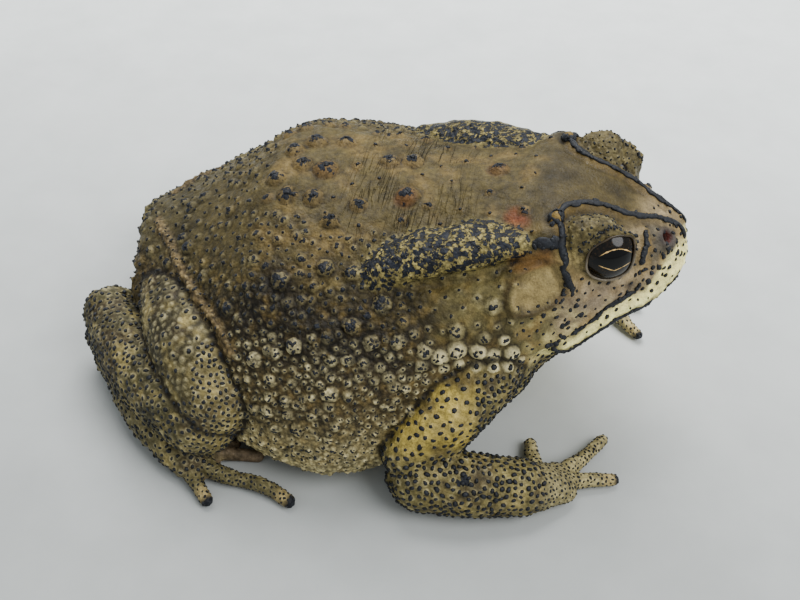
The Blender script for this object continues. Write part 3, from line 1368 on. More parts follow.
class SkinMaps:
    """Works out the skin's colours and writes them into its mesh."""

    def __init__(self, form: SkinForm, sheet: SkinSheet, weights: dict[Region, Array], wart_share: Array,
                 wart_number: Array, sunk: Array) -> None:
        """Keeps the worked-over sheet and what is known of each vertex.

        Args:
            form: The form that the skin was made by.
            sheet: The finished surface.
            weights: Share of each region at every vertex.
            wart_share: Distance to the nearest wart as a share of its radius.
            wart_number: That wart's number.
            sunk: How much of each vertex lies hidden under an eyeball.
        """
        self.form = form
        self.sheet = sheet
        self.weights = weights
        self.wart_share = wart_share
        self.wart_number = wart_number
        self.sunk = sunk
        self.paint = SkinPaint()

    def coated(self, base: Array, *coats: tuple[Row, Array]) -> Array:
        """Lays colours over a base.

        Args:
            base: Linear colours, one row a place.
            coats: Screen colours with their weights at the places, from the lowest coat up.

        Returns:
            The new linear colours.
        """
        for colour, weight in coats:
            base = base + (linear(*colour) - base) * np.clip(weight, 0, 1)[:, None]
        return base

    def patches(self, size: float, seed: int, low: float, high: float) -> Array:
        """Gives patches of about a size, 0 where their noise is under low and 1 where it is over high."""
        return grow(layered_noise(self.sheet.points, size, seed), low, high)

    def by_wart(self, values: list[float] | Array) -> Array:
        """Gives every vertex its nearest wart's value."""
        return np.asarray(values)[self.wart_number]

    def hollows(self) -> tuple[Array, Array]:
        """Gives how deep each vertex lies in its near and its wider surroundings, in millimetres.

        Returns:
            The two depths.
        """
        sheet = self.sheet
        near = sheet.blur(sheet.points, 5)
        wide = sheet.blur(near, 22)
        return tuple(np.einsum("ij,ij->i", mean - sheet.points, sheet.normals) for mean in (near, wide))

    def ground(self) -> Array:
        """Paints the skin between the warts.

        Returns:
            The linear colours.
        """
        paint, weights, points = self.paint, self.weights, self.sheet.points
        x, y, z = points.T
        side = np.abs(y)
        lean = self.form.trunk.lean(points) + 7 * blob_noise(points, 7, 51)
        front = x - 0.11 * z + 1.5 * blob_noise(points, 5, 52)
        rear = 7 * fade(x, 24, 34) + 11 * grow(x, 48, 58)
        head = grow(front, 66, 73)
        side_head = head * fade(z, 42.5, 45.5)
        aside = side + 2.5 * layered_noise(points, 4, 55)
        nose = grow(x, 90, 93.5) * grow(z, 38, 40.5) * grow(side, 2.2, 3.8)
        knee = np.exp(-(((x - 27.5) / 5) ** 2 + ((side - 36) / 6) ** 2))
        plain_arm = np.maximum(fade(z, 12, 17), grow(x + 1.5 * blob_noise(points, 3, 53), 67, 71))
        regions = ((paint.lid, Region.LID), (paint.gland, Region.GLAND), (paint.fold, Region.FOLD),
                   (paint.thigh, Region.THIGH), (paint.shank, Region.SHANK), (paint.toe, Region.FOOT),
                   (paint.toe, Region.TOE), (paint.web, Region.WEB), (paint.arm, Region.UPPER_ARM),
                   (paint.limb, Region.FOREARM), (paint.hand, Region.HAND), (paint.digit, Region.FINGER))
        return self.coated(
            np.tile(linear(*paint.back), (len(points), 1)),
            (paint.rump, fade(x, 8, 22)),
            (paint.flank, fade(lean + rear, 46, 58)),
            (paint.bronze, fade(lean, 45, 60) * fade(z, 22, 29)),
            (paint.low, fade(z, 9, 21)),
            (paint.neck, grow(front, 54, 63) * grow(lean, 22, 34) * fade(lean, 50, 60)),
            (paint.belly, fade(lean, -14, 2) * (0.35 + 0.65 * grow(x, 4, 16))),
            (paint.crown, head * grow(z, 41, 45)),
            (paint.neck, side_head * fade(front, 74, 78)),
            (paint.cheek, side_head * grow(front, 74, 79)),
            (paint.throat, head * fade(lean, -8, -2)),
            (paint.limb, head * grow(aside, 7, 16) * fade(z, 27, 31)),
            (paint.snout, 0.85 * nose),
            *((shade, weights[region]) for shade, region in regions),
            (paint.knee, 0.9 * knee * (weights[Region.THIGH] + weights[Region.SHANK])),
            (paint.limb, weights[Region.UPPER_ARM] * plain_arm))

    def mottle(self, colour: Array) -> Array:
        """Breaks the ground up with lighter, darker and rusty patches.

        Args:
            colour: The ground.

        Returns:
            The mottled ground.
        """
        paint, points, trunk = self.paint, self.sheet.points, self.weights[Region.TRUNK]
        x, _, z = points.T
        limb_skin = sum(self.weights[region] for region in (Region.THIGH, Region.SHANK, Region.UPPER_ARM,
                                                            Region.FOREARM, Region.FOOT))
        head = grow(x, 72, 78) * trunk
        body = trunk * (1 - head)
        flank = self.form.trunk.flank(points) * body
        smear = layered_noise(points * (0.6, 1, 1), 3.2, 95, 4) * head
        vein = grow(0.16 - np.abs(layered_noise(points * (0.45, 1, 0.7), 2.2, 96)), 0, 0.14) * head
        broad, fine = layered_noise(points, 6, 61), layered_noise(points, 1.5, 71)
        colour = colour * (1 + 0.28 * broad + (0.26 + 0.14 * flank) * fine + 0.50 * smear - 0.34 * vein)[:, None]
        below_eye = np.exp(-((x - 87) / 5) ** 2 - ((z - 35) / 3) ** 2)
        rusty = ((paint.rust, share * grow(2.6 - lengths(points - spot), 0, 1.6)) for *spot, share in self.form.rusty)
        colour = self.coated(
            colour,
            (paint.ochre, 0.38 * flank * self.patches(1.6, 93, 0, 0.8)),
            (paint.tan, 0.55 * head * fade(z, 41, 44) * self.patches(1.9, 97, 0, 0.6)),
            (paint.butter, 0.6 * head * fade(z, 32, 37) * self.patches(1.5, 98, -0.1, 0.7)),
            (paint.mauve, 0.5 * head * below_eye),
            (paint.umber, 0.75 * limb_skin * self.patches(3.6, 81, 0, 0.7)),
            (paint.straw, 0.55 * limb_skin * self.patches(2.4, 85, 0.1, 0.9)),
            (paint.brass, 0.5 * grow(z, 36, 41) * body * self.patches(4.5, 91, 0.1, 0.8)),
            *rusty)
        return np.clip(colour, 0.002, 1)

    def warts(self, colour: Array) -> Array:
        """Paints the warts.

        Args:
            colour: The ground.

        Returns:
            The ground with its warts.
        """
        paint, q, warts = self.paint, self.wart_share, self.form.warts
        rng = np.random.default_rng(9)
        level = np.array([wart.spot[2] for wart in warts])
        high = np.array([wart.zone in (Zone.FLANK, Zone.SHOULDER) for wart in warts])
        pale = np.array([PALE.get(wart.zone, 0) for wart in warts]) * rng.uniform(0.45, 1.08, len(warts))
        pale = np.where(high, pale * (0.36 + 0.64 * fade(level, 27, 33)), pale)
        row = [0.9 < wart.radius and 61 < wart.spot[0] < 77 and wart.spot[2] < 31 for wart in warts]
        ring = [wart.zone in (Zone.FLANK, Zone.SIDE, Zone.BELLY, Zone.SHOULDER) for wart in warts]
        brown = [wart.zone is Zone.BACK for wart in warts]
        return self.coated(colour,
                           (paint.dirt, 0.42 * self.by_wart(ring) * bell(q, 1.2, 0.22)),
                           (paint.cream, self.by_wart(np.where(row, 1, pale)) * grow(1.2 - q, 0, 0.65)),
                           (paint.bark, 0.45 * self.by_wart(brown) * grow(1.25 - q, 0, 0.4)))

    def face(self, patch: Array, points: Array) -> Array:
        """Paints lips, the edges of crests, nostrils and eardrums.

        Args:
            patch: Colours of the head.
            points: Places on the head.

        Returns:
            The new colours.
        """
        paint, form = self.paint, self.form
        local = folded(points)
        x, _, z = local.T
        above = form.over_mouth(local)
        distance, _ = path_distance(local, form.mouth)
        width = 2.5 + 1.2 * grow(x, 84, 90) + 2.4 * grow(x, 94, 98)
        band = grow(width - distance, 0, 1) * grow(x, 81, 83)
        ragged = 0.25 * blob_noise(local, 1.2, 101)
        band *= grow(1.4 - np.abs(blob_noise(local, 1.1, 103)) * grow(above, 2, 4), 0.4, 1)
        front = grow(x + blob_noise(local, 1.4, 105), 97.2, 98.8)
        front *= fade(z, 38.5, 41) * grow(layered_noise(local, 1.3, 107), -0.9, 0.1)
        to_drum = form.drum_share(local)
        to_ear, _ = path_distance(local, form.ear_fold[:3])
        to_orbit = lengths((local - form.orbit_rear) * (1, 1, 0.7))
        to_nostril = lengths(local - form.nostril)
        crests = (path_distance(local, path)[0] for path in (form.brow, form.behind_eye, form.before_eye))
        return self.coated(
            patch,
            (paint.lip, band * grow(above + ragged, -0.6, 0)),
            (paint.lip, 0.75 * grow(3.4 - distance, 0, 1) * (above < 0)),
            (paint.horn, grow(0.52 - distance - ragged * 0.6, -0.05, 0.1)),
            (paint.lip, 0.7 * front * grow(above, -0.5, 0)),
            *((paint.edge, 0.35 * grow(1.7 - away, 0, 0.9)) for away in crests),
            (paint.amber, 0.75 * grow(2.4 - to_ear, 0, 1.6)),
            (paint.orbit, 0.7 * grow(3.4 - to_orbit, 0, 2)),
            (paint.dusk, 0.8 * grow(2.3 - to_nostril, 0, 0.8)),
            (paint.pore, grow(1.25 - to_nostril, 0, 0.35)),
            (paint.drum_rim, 0.75 * bell(to_drum, 1.12, 0.13)),
            (paint.drum, 0.85 * grow(1 - to_drum, 0, 0.2)))

    def details(self, colour: Array) -> Array:
        """Paints the face and the ends of toes and fingers.

        Args:
            colour: The skin with its warts.

        Returns:
            The new colours.
        """
        paint, points = self.paint, self.sheet.points
        head = points[:, 0] > 60
        colour[head] = self.face(colour[head], points[head])
        inner = self.weights[Region.TOE] * (points[:, 0] < 34) * fade(np.abs(points[:, 1]), 35, 38)
        colour = self.coated(colour, (paint.sole, 0.6 * inner))
        for path in (path for side in SIDES for path in self.form.limbs.dark_digits(side)):
            end, step = path[-1, :3], path[-1, :3] - path[-2, :3]
            distance = lengths(points - end)
            past = (points - end) @ (step / np.linalg.norm(step))
            colour = self.coated(colour, (paint.digit_end, 0.7 * grow(3 - distance, 0, 1)),
                                 (paint.horn, (distance < 3) * grow(past, -0.2, 0.3)))
        return colour

    def caps(self) -> Array:
        """Gives how near each vertex is to dark horny skin: below 0 for never, about 1 for always.

        Returns:
            The values.
        """
        points, warts = self.sheet.points, self.form.warts
        start = [1.24 if wart.zone in (Zone.BACK, Zone.SIDE, Zone.RUMP) else -9 for wart in warts]
        level = [0.72 if wart.zone is Zone.SIDE and wart.radius > 1 else 1.1 for wart in warts]
        caps = np.minimum(self.by_wart(start) - self.wart_share, self.by_wart(level))
        rise = points[:, 2] - 39.2 - 0.27 * (points[:, 0] - 54)
        gland = 0.57 + 0.20 * grow(rise, -2.5, 2) + 0.10 * blob_noise(points, 2.6, 111)
        caps = np.maximum(caps, -0.3 + (gland + 0.3) * grow(self.weights[Region.GLAND], 0.3, 0.6))
        for *spot, radius in self.form.blotches:
            caps = np.maximum(caps, 1.2 - lengths(points - spot) / radius)
        return np.maximum(caps, -0.3)

    def shade(self, colour: Array) -> Array:
        """Darkens hollows and creases and lightens what stands out.

        Args:
            colour: The painted skin.

        Returns:
            The shaded skin.
        """
        fine, broad = self.hollows()
        trunk, thigh, shank, arm = (self.weights[region] for region in (Region.TRUNK, Region.THIGH, Region.SHANK,
                                                                        Region.UPPER_ARM))
        seams = (trunk + 0.8 * thigh) * shank + trunk * (thigh + arm)
        dirt = self.paint.dirt
        colour = self.coated(colour, (dirt, 0.80 * grow(fine, 0.015, 0.20)), (dirt, 0.90 * grow(broad, 0.20, 1.4)),
                             (dirt, 0.9 * grow(seams, 0.04, 0.19)))
        colour = colour * (1 + 0.45 * fade(fine, -0.2, -0.02))[:, None]
        return self.coated(colour, (self.paint.horn, self.sunk))

    def write(self) -> None:
        """Writes the colours and the values that the finish reads into the mesh."""
        points, weights = self.sheet.points, self.weights
        x, _, z = points.T
        colour = np.clip(self.shade(self.details(self.warts(self.mottle(self.ground())))), 0.001, 1)
        layer = self.sheet.thing.data.color_attributes.new("tone", "FLOAT_COLOR", "POINT")
        layer.data.foreach_set("color", np.concatenate([colour, np.ones((len(colour), 1))], axis=1).ravel())
        trunk, web = weights[Region.TRUNK], weights[Region.WEB]
        head = grow(x - 0.11 * z, 66, 74) * grow(z, 24, 28) * (1 - 0.6 * weights[Region.LID])
        back = grow(self.form.trunk.lean(points), 40, 62) * trunk
        shoulder = grow(x, 54, 62) * trunk
        limbs = sum(weights[region] for region in Region if region.value >= Region.THIGH.value) - web
        smooth = 0.85 * head + 0.6 * web + 0.70 * np.maximum(back, shoulder) + 0.55 * limbs
        values = {"damp": np.clip(0.6 * head + 0.4 * weights[Region.GLAND] + 0.5 * web, 0, 1),
                  "grain": np.clip(1 - smooth, 0, 1),
                  "caps": self.caps(),
                  "creases": np.clip(self.form.nape(points) * trunk, 0, 1)}
        for name, value in values.items():
            layer = self.sheet.thing.data.attributes.new(name, "FLOAT", "POINT")
            layer.data.foreach_set("value", value)


# Finishes


class Nodes:
    """Short ways to add nodes to one material."""

    def __init__(self, name: str) -> None:
        """Starts a material with its shader.

        Args:
            name: The material's name.
        """
        self.material = bpy.data.materials.new(name)
        self.material.use_nodes = True
        self.tree = self.material.node_tree
        self.shader = self.tree.nodes["Principled BSDF"]
        self.place = self.tree.nodes.new("ShaderNodeTexCoord").outputs["Object"]

    def set(self, node: bpy.types.Node, inputs: dict[str | int, Value]) -> None:
        """Fills inputs of a node.

        Args:
            node: The node.
            inputs: A socket to link or a plain value for each input, by its name or number.
        """
        for key, value in inputs.items():
            if isinstance(value, Socket):
                self.tree.links.new(value, node.inputs[key])
            else:
                node.inputs[key].default_value = value

    def add(self, kind: str, inputs: dict[str | int, Value], output: int | str = 0, **options: str) -> Socket:
        """Adds a node.

        Args:
            kind: Its type, without the start that all shader nodes share.
            inputs: What its inputs take.
            output: The name or number of the output that is wanted.
            options: Its settings.

        Returns:
            The wanted output.
        """
        node = self.tree.nodes.new("ShaderNode" + kind)
        for option, value in options.items():
            setattr(node, option, value)
        self.set(node, inputs)
        return node.outputs[output]

    def dress(self, colour: Socket, roughness: Value, **others: float) -> bpy.types.Material:
        """Ends the material.

        Args:
            colour: Its colour.
            roughness: Its roughness.
            others: Other inputs of the shader, with lines for the spaces of their names.

        Returns:
            The material.
        """
        named = {name.replace("_", " "): value for name, value in others.items()}
        self.set(self.shader, {"Base Color": colour, "Roughness": roughness, **named})
        return self.material

    def noise(self, size: float, detail: float = 3, roughness: float = 0.6, narrow: Row = (1, 1, 1)) -> Socket:
        """Adds noise.

        Args:
            size: About the size of its blobs in millimetres.
            detail: How many finer layers it has.
            roughness: How strong these are.
            narrow: Shares for the axes, under 1 where the blobs are drawn out.

        Returns:
            Its value.
        """
        place = self.add("VectorMath", {0: self.place, 1: narrow}, operation="MULTIPLY")
        inputs = {"Vector": place, "Scale": 1 / (size * MM), "Detail": detail, "Roughness": roughness}
        return self.add("TexNoise", inputs, "Fac")

    def cells(self, size: float) -> Socket:
        """Adds the distance to the nearest of scattered points, in cells of a size in millimetres."""
        return self.add("TexVoronoi", {"Vector": self.place, "Scale": 1 / (size * MM)}, "Distance")

    def attribute(self, name: str, output: str) -> Socket:
        """Reads an attribute of the mesh."""
        return self.add("Attribute", {}, output, attribute_name=name)

    def spread(self, source: Socket, low: float, high: float, first: float = 0, last: float = 1) -> Socket:
        """Maps a value from the range of first to last to the range of low to high."""
        inputs = {"Value": source, "From Min": first, "From Max": last, "To Min": low, "To Max": high}
        return self.add("MapRange", inputs, "Result")

    def maths(self, operation: str, *values: Socket | float) -> Socket:
        """Works out one operation on sockets or numbers."""
        return self.add("Math", dict(enumerate(values)), operation=operation)

    def mix(self, share: Socket, first: Socket, second: Socket | Row) -> Socket:
        """Lays a second colour, a socket or a screen colour, over a first one by a share."""
        second = second if isinstance(second, Socket) else (*linear(*second), 1)
        return self.add("Mix", {0: share, 6: first, 7: second}, 2, data_type="RGBA")

    def scaled(self, colour: Socket, amount: Socket) -> Socket:
        """Multiplies a colour by a value."""
        return self.add("VectorMath", {0: colour, "Scale": amount}, operation="SCALE")

    def ramp(self, source: Socket, *stops: tuple[float, Row]) -> Socket:
        """Turns a value into a colour.

        Args:
            source: The value.
            stops: Values with their screen colours.

        Returns:
            The colour.
        """
        node = self.tree.nodes.new("ShaderNodeValToRGB")
        elements = node.color_ramp.elements
        while len(elements) < len(stops):
            elements.new(0.5)
        for element, (place, colour) in zip(elements, stops):
            element.position = place
            element.color = (*linear(*colour), 1)
        self.set(node, {"Fac": source})
        return node.outputs["Color"]

    def bump(self, height: Socket, depth: float) -> None:
        """Adds a bump over any bump already there.

        Args:
            height: Its height.
            depth: How deep it is, in millimetres.
        """
        inputs = {"Height": height, "Distance": depth * MM, "Strength": 1}
        target = self.shader.inputs["Normal"]
        if target.is_linked:
            inputs["Normal"] = target.links[0].from_socket
        self.set(self.shader, {"Normal": self.add("Bump", inputs)})


@dataclass(frozen=True)
class SkinFinish:
    """Dry, finely granular skin whose colours come from the mesh."""

    granule: float = 0.80
    grit: float = 0.42
    wrinkle: float = 1.0
    granule_depth: float = 0.22
    grit_depth: float = 0.12
    wrinkle_depth: float = 0.25
    wrinkle_dark: float = -0.38
    darkest: float = 0.12
    cap: float = 1.15
    cap_edge: float = 0.42
    cap_depth: float = 0.10
    cap_dark: Row = (11, 13, 18)
    cap_light: Row = (38, 43, 52)
    gloss: float = 0.22

    def material(self) -> bpy.types.Material:
        """Makes the material.

        Returns:
            The material.
        """
        nodes = Nodes("toad_skin")
        maths, spread, noise = nodes.maths, nodes.spread, nodes.noise
        tone = nodes.attribute("tone", "Color")
        grain, creases, horny, damp = (nodes.attribute(name, "Fac") for name in ("grain", "creases", "caps", "damp"))
        cells, small = nodes.cells(self.granule), nodes.cells(self.grit)
        pebble = maths("MULTIPLY", spread(cells, 0.42, -0.50, 0.05, 0.70), grain)
        mottle = spread(noise(1.3, 5, 0.65), -0.62, 0.62, 0.25, 0.75)
        mottle = maths("MULTIPLY", mottle, spread(grain, 0.75, 1))
        grit = spread(noise(0.26, 3), -0.26, 0.26, 0.25, 0.75)
        total = maths("ADD", maths("ADD", pebble, mottle), maths("ADD", grit, 1))
        middle = maths("SUBTRACT", noise(self.wrinkle, 2, 0.5, (1, 0.10, 0.25)), 0.5)
        lines = maths("MULTIPLY", creases, spread(maths("ABSOLUTE", middle), 1, 0, 0, 0.05))
        total = maths("MAXIMUM", maths("MULTIPLY_ADD", lines, self.wrinkle_dark, total), self.darkest)
        blotch = spread(noise(self.cap, 1), -0.12, 0.12, 0.3, 0.7)
        edge = spread(noise(self.cap_edge, 2), -0.26, 0.26, 0.3, 0.7)
        lump = spread(nodes.cells(self.cap), 0.24, -0.30, 0.1, 0.62)
        caps = maths("ADD", horny, maths("ADD", lump, maths("ADD", blotch, edge)))
        caps = spread(caps, 0, 1, 0.47, 0.57)
        horn = nodes.ramp(noise(0.9, 3), (0.35, self.cap_dark), (0.75, self.cap_light))
        dry = spread(noise(1.6, 3), 0.46, 0.74, 0.3, 0.7)
        nodes.bump(spread(lines, 1, 0), self.wrinkle_depth)
        nodes.bump(maths("MULTIPLY", spread(cells, 1, 0, 0, 0.75), grain), self.granule_depth)
        nodes.bump(maths("ADD", noise(0.5, 4, 0.7), spread(small, 0.6, 0)), self.grit_depth)
        nodes.bump(caps, self.cap_depth)
        return nodes.dress(nodes.mix(caps, nodes.scaled(tone, total), horn),
                           maths("SUBTRACT", dry, spread(damp, 0, 0.16)), Specular_IOR_Level=self.gloss)


@dataclass(frozen=True)
class HornFinish:
    """Blue-black horny skin with a soft gloss."""

    dark: Row = (10, 12, 16)
    light: Row = (35, 39, 46)
    gloss: float = 0.32

    def material(self) -> bpy.types.Material:
        """Makes the material.

        Returns:
            The material.
        """
        nodes = Nodes("toad_horn")
        nodes.bump(nodes.noise(0.34, 3), 0.08)
        return nodes.dress(nodes.ramp(nodes.noise(0.9, 3), (0.35, self.dark), (0.75, self.light)),
                           nodes.spread(nodes.noise(0.5, 2), 0.44, 0.66), Specular_IOR_Level=self.gloss)


@dataclass(frozen=True)
class LidFinish:
    """Moist rim of the lids, pale below the eye and dark above it by the mesh's own tone."""

    roughness: float = 0.34

    def material(self) -> bpy.types.Material:
        """Makes the material.

        Returns:
            The material.
        """
        nodes = Nodes("toad_lid_rim")
        share = nodes.spread(nodes.noise(0.8, 4), 0.5, 1.5, 0.25, 0.75)
        nodes.bump(nodes.noise(0.3, 2), 0.03)
        return nodes.dress(nodes.scaled(nodes.attribute("tone", "Color"), share), self.roughness)


@dataclass(frozen=True)
class EyeFinish:
    """Dark bronze iris with a long level pupil edged in gold, under a clear wet surface.

    It reads where each place on the eye lies across, up and out, as shares of the radius.
    """

    black: Row = (3, 3, 3)
    gold: Row = (224, 186, 120)
    iris: tuple[tuple[float, Row], ...] = ((0.45, (9, 7, 5)), (0.62, (30, 21, 12)), (0.72, (74, 52, 26)))
    line: float = 0.010
    roughness: float = 0.22
    wet: float = 0.11
    water: float = 1.33

    def material(self) -> bpy.types.Material:
        """Makes the material.

        Returns:
            The material.
        """
        nodes = Nodes("toad_eye")
        maths, spread = nodes.maths, nodes.spread
        gaze = nodes.attribute("gaze", "Vector")
        across, up = (nodes.add("SeparateXYZ", {0: gaze}, axis) for axis in "XY")
        shift = maths("ADD", across, 0.08)
        arch = maths("MULTIPLY_ADD", maths("MULTIPLY", shift, shift), -0.82, 0.305)
        keel = maths("MULTIPLY_ADD", maths("ABSOLUTE", maths("ADD", across, 0.04)), 0.38, -0.375)
        ragged = spread(nodes.noise(0.7, 3), -0.012, 0.012, 0.3, 0.7)
        above, below = (maths("ABSOLUTE", maths("SUBTRACT", up, bow)) for bow in (arch, keel))
        nearest = maths("ADD", maths("MINIMUM", above, below), ragged)
        ends = spread(maths("ABSOLUTE", maths("ADD", across, 0.06)), 1, 0, 0.38, 0.50)
        shine = maths("MULTIPLY", spread(nearest, 1, 0, self.line * 0.6, self.line * 1.9), ends)
        inside = maths("MULTIPLY", maths("LESS_THAN", up, arch), maths("GREATER_THAN", up, keel))
        ground = nodes.mix(inside, nodes.ramp(nodes.noise(0.35, 4), *self.iris), self.black)
        return nodes.dress(nodes.mix(shine, ground, self.gold), self.roughness, Specular_IOR_Level=0,
                           Coat_Weight=1, Coat_IOR=self.water, Coat_Roughness=self.wet)


@dataclass(frozen=True)
class FloorFinish:
    """Plain pale floor with a faint cloudiness."""

    cloudy: tuple[tuple[float, Row], ...] = ((0.25, (177, 181, 179)), (0.75, (189, 193, 191)))
    roughness: float = 0.8

    def material(self) -> bpy.types.Material:
        """Makes the material.

        Returns:
            The material.
        """
        nodes = Nodes("plain_floor")
        away = nodes.add("SeparateXYZ", {0: nodes.place}, "Y")
        far = nodes.spread(away, 0.81, 1.95, -0.05, 0.16)
        return nodes.dress(nodes.scaled(nodes.ramp(nodes.noise(16, 5), *self.cloudy), far), self.roughness)


# Pieces on the skin


@dataclass
class HornTips:
    """Small horny domes that cap the warts, repeated as joined meshes."""

    sides: int = 7
    seed: int = 77
    most_in_piece: int = 7400

    def template(self) -> tuple[Array, Array]:
        """Models one tip: a low cone with a rounded crown and a root to sink in.

        Returns:
            Its vertices and its triangles.
        """
        mesh = bmesh.new()
        bmesh.ops.create_cone(mesh, cap_ends=True, segments=self.sides, radius1=1.04, radius2=0.56, depth=1)
        bmesh.ops.translate(mesh, verts=mesh.verts, vec=(0, 0, 0.12))
        top = max(mesh.faces, key=lambda face: face.calc_center_median().z)
        bmesh.ops.poke(mesh, faces=[top])["verts"][0].co.z = 1.05
        bmesh.ops.triangulate(mesh, faces=mesh.faces)
        mesh.verts.index_update()
        points = spots_of(mesh.verts)
        faces = np.array([[vertex.index for vertex in face.verts] for face in mesh.faces])
        mesh.free()
        return points, faces

    def build(self, places: Tips, name: str) -> list[Thing]:
        """Repeats the tip.

        Args:
            places: Root, direction, radius and height of each tip.
            name: Start of the pieces' names.

        Returns:
            The pieces, each of many joined tips.
        """
        points, faces = self.template()
        rng = np.random.default_rng(self.seed)
        made = []
        for start in range(0, len(places), self.most_in_piece):
            chunk = places[start:start + self.most_in_piece]
            all_points, all_faces = [], []
            for number, (root, outward, radius, height) in enumerate(chunk):
                turn = np.array(outward.to_track_quat("Z", "Y").to_matrix())
                spin = rng.uniform(0, 2 * math.pi)
                c, s = math.cos(spin), math.sin(spin)
                stretch = rng.uniform(0.8, 1.25)
                wobble = 1 + rng.uniform(-0.16, 0.16, len(points))
                local = points * (radius * stretch, radius / stretch, height)
                local[:, :2] *= wobble[:, None]
                local = local @ np.array([[c, s, 0], [-s, c, 0], [0, 0, 1]])
                all_points.append(local @ turn.T + np.array(root))
                all_faces.append(faces + number * len(points))
            data = bpy.data.meshes.new(name)
            data.from_pydata(np.concatenate(all_points).tolist(), [], np.concatenate(all_faces).tolist())
            data.shade_smooth()
            made.append(new_object(f"{name}_{start // self.most_in_piece + 1}", data))
        return made


@dataclass
class HornMarks:
    """Horny ridges along the head's crests and lips, and the dark caps of warts and glands."""

    form: SkinForm
    surface: BVHTree
    seed: int = 13
    crowns: Tips = field(default_factory=list)
    ridges: tuple[tuple[str, float, float], ...] = (("brow", 0.56, 0.34), ("behind_eye", 0.62, 0.42),
                                                    ("before_eye", 0.46, 0.28))
    upper_lip: Table = ((83.2, 17.7, 28.4), (84.5, 16.9, 29.2), (85.6, 16.2, 30.1), (86.9, 15.3, 31.1),
                        (88, 14.5, 32.7), (89.6, 13.4, 33.4), (91.1, 12.4, 34), (92.6, 11.3, 34.7),
                        (93.2, 10.6, 36))
    rear_spur: Table = ((76.4, 12, 47.4), (77.2, 11.6, 47.7), (78.4, 10.3, 48))
    outer_spur: Table = ((78.6, 10, 47.9), (78, 11.8, 47.6), (77.5, 13.4, 46.9))
    temple: Table = ((74.8, 15.6, 44.9), (75.8, 15.4, 45.2), (76.9, 15, 45.4), (78.4, 14.6, 45.4), (79.9, 14.2, 45.4))
    blobs: Table = (
        (83.2, 17.3, 34.8, 0.42), (84.2, 16.9, 32.6, 0.45), (82.1, 18.3, 31.5, 0.48), (82.2, 18.3, 28.2, 0.55),
        (80.7, 17.9, 38.2, 0.3), (77.9, 11.4, 47.9, 0.5), (80.6, 18.4, 36.5, 0.36), (80.1, 19.1, 34.9, 0.34),
        (78.3, 20.2, 34.4, 0.36), (82.5, 17.1, 37.2, 0.4), (92.8, 10.4, 38, 0.3), (93.7, 9.7, 38.4, 0.32),
        (94.5, 9.8, 35.9, 0.42), (94.7, 9.3, 37.4, 0.36), (95.7, 8.3, 37.9, 0.42), (96.1, 7.2, 39.6, 0.36),
        (96.9, 6, 40.1, 0.44), (98.5, 5, 39, 0.42), (94.6, 7.5, 40.9, 0.26), (98.1, 3.9, 40.8, 0.3),
        (81, 19, 27.6, 0.5), (79.9, 19.9, 27.2, 0.5), (75.3, 15.7, 45.4, 0.36), (76.4, 15.5, 44.9, 0.3),
        (77.6, 14.6, 45.9, 0.32), (78.9, 14.9, 45, 0.3), (97.6, 6.8, 37.2, 0.26), (98.9, 3.6, 37.8, 0.24),
        (96.6, 7.8, 36.4, 0.24),
    )

    def on_skin(self, spot: Iterable[float]) -> tuple[Vector, Vector]:
        """Finds the skin nearest to a place, and its direction there."""
        found, normal, _, _ = self.surface.find_nearest(Vector(spot))
        return found, normal

    def ridge(self, path: Table, side: int, half: float, rise: float) -> Solid:
        """Makes one uneven ridge that lies on the skin.

        Args:
            path: Places that the ridge passes, on the left side.
            side: The side that it is made on.
            half: Half its width.
            rise: Its height over the skin.

        Returns:
            The closed mesh.
        """
        corners = on_side(path, side)
        curve, length = path_curve(np.concatenate([corners, np.zeros((len(corners), 2))], axis=1))
        count = max(14, int(length / 0.3))
        stops = np.linspace(0, length, count)
        found = [self.on_skin(spot[:3]) for spot in curve.at(stops)]
        spots = np.array([spot for spot, _ in found])
        ups = np.array([up for _, up in found])
        for _ in range(2):
            spots[1:-1] = 0.5 * spots[1:-1] + 0.25 * (spots[:-2] + spots[2:])
            ups[1:-1] = 0.5 * ups[1:-1] + 0.25 * (ups[:-2] + ups[2:])
        ups = unit(ups)
        wide = half * (1 + 0.34 * blob_noise(spots, 0.8, self.seed) + 0.20 * blob_noise(spots, 2.6, self.seed + 1))
        line = Curve(stops, np.concatenate([spots, ups, wide[:, None]], axis=1))
        rng = random.Random(self.seed + count)
        for spot, up, reach in zip(spots[2:-2:3], ups[2:-2:3], wide[2:-2:3]):
            aside = np.array([rng.uniform(-0.6, 0.6) * reach for _ in range(3)])
            aside -= up * (aside @ up)
            root = spot + aside + up * rise * 0.55
            self.crowns.append((Vector(root), Vector(up), rng.uniform(0.34, 0.6), 0.18))

        def place(along: Array, around: Array) -> Array:
            """Places vertices.

            Args:
                along: Shares from end to end.
                around: Angles round it in radians.

            Returns:
                The places on the ridge.
            """
            here = line.at(along * length)
            ahead = line.at(np.minimum(along + 0.01, 1) * length)
            behind = line.at(np.maximum(along - 0.01, 0) * length)
            up = here[:, 3:6]
            across = np.cross(unit(ahead[:, :3] - behind[:, :3]), up)
            to_end = np.clip(np.minimum(along, 1 - along) * length / (2 * half), 0, 1)
            taper = np.sin(to_end * math.pi / 2)[:, None] ** 0.6
            wide = here[:, 6:7] * taper
            high = rise * taper * np.sin(around)[:, None] - 0.02
            return here[:, :3] + across * wide * np.cos(around)[:, None] + up * high

        return shaped_ball(10, count * 2, place)

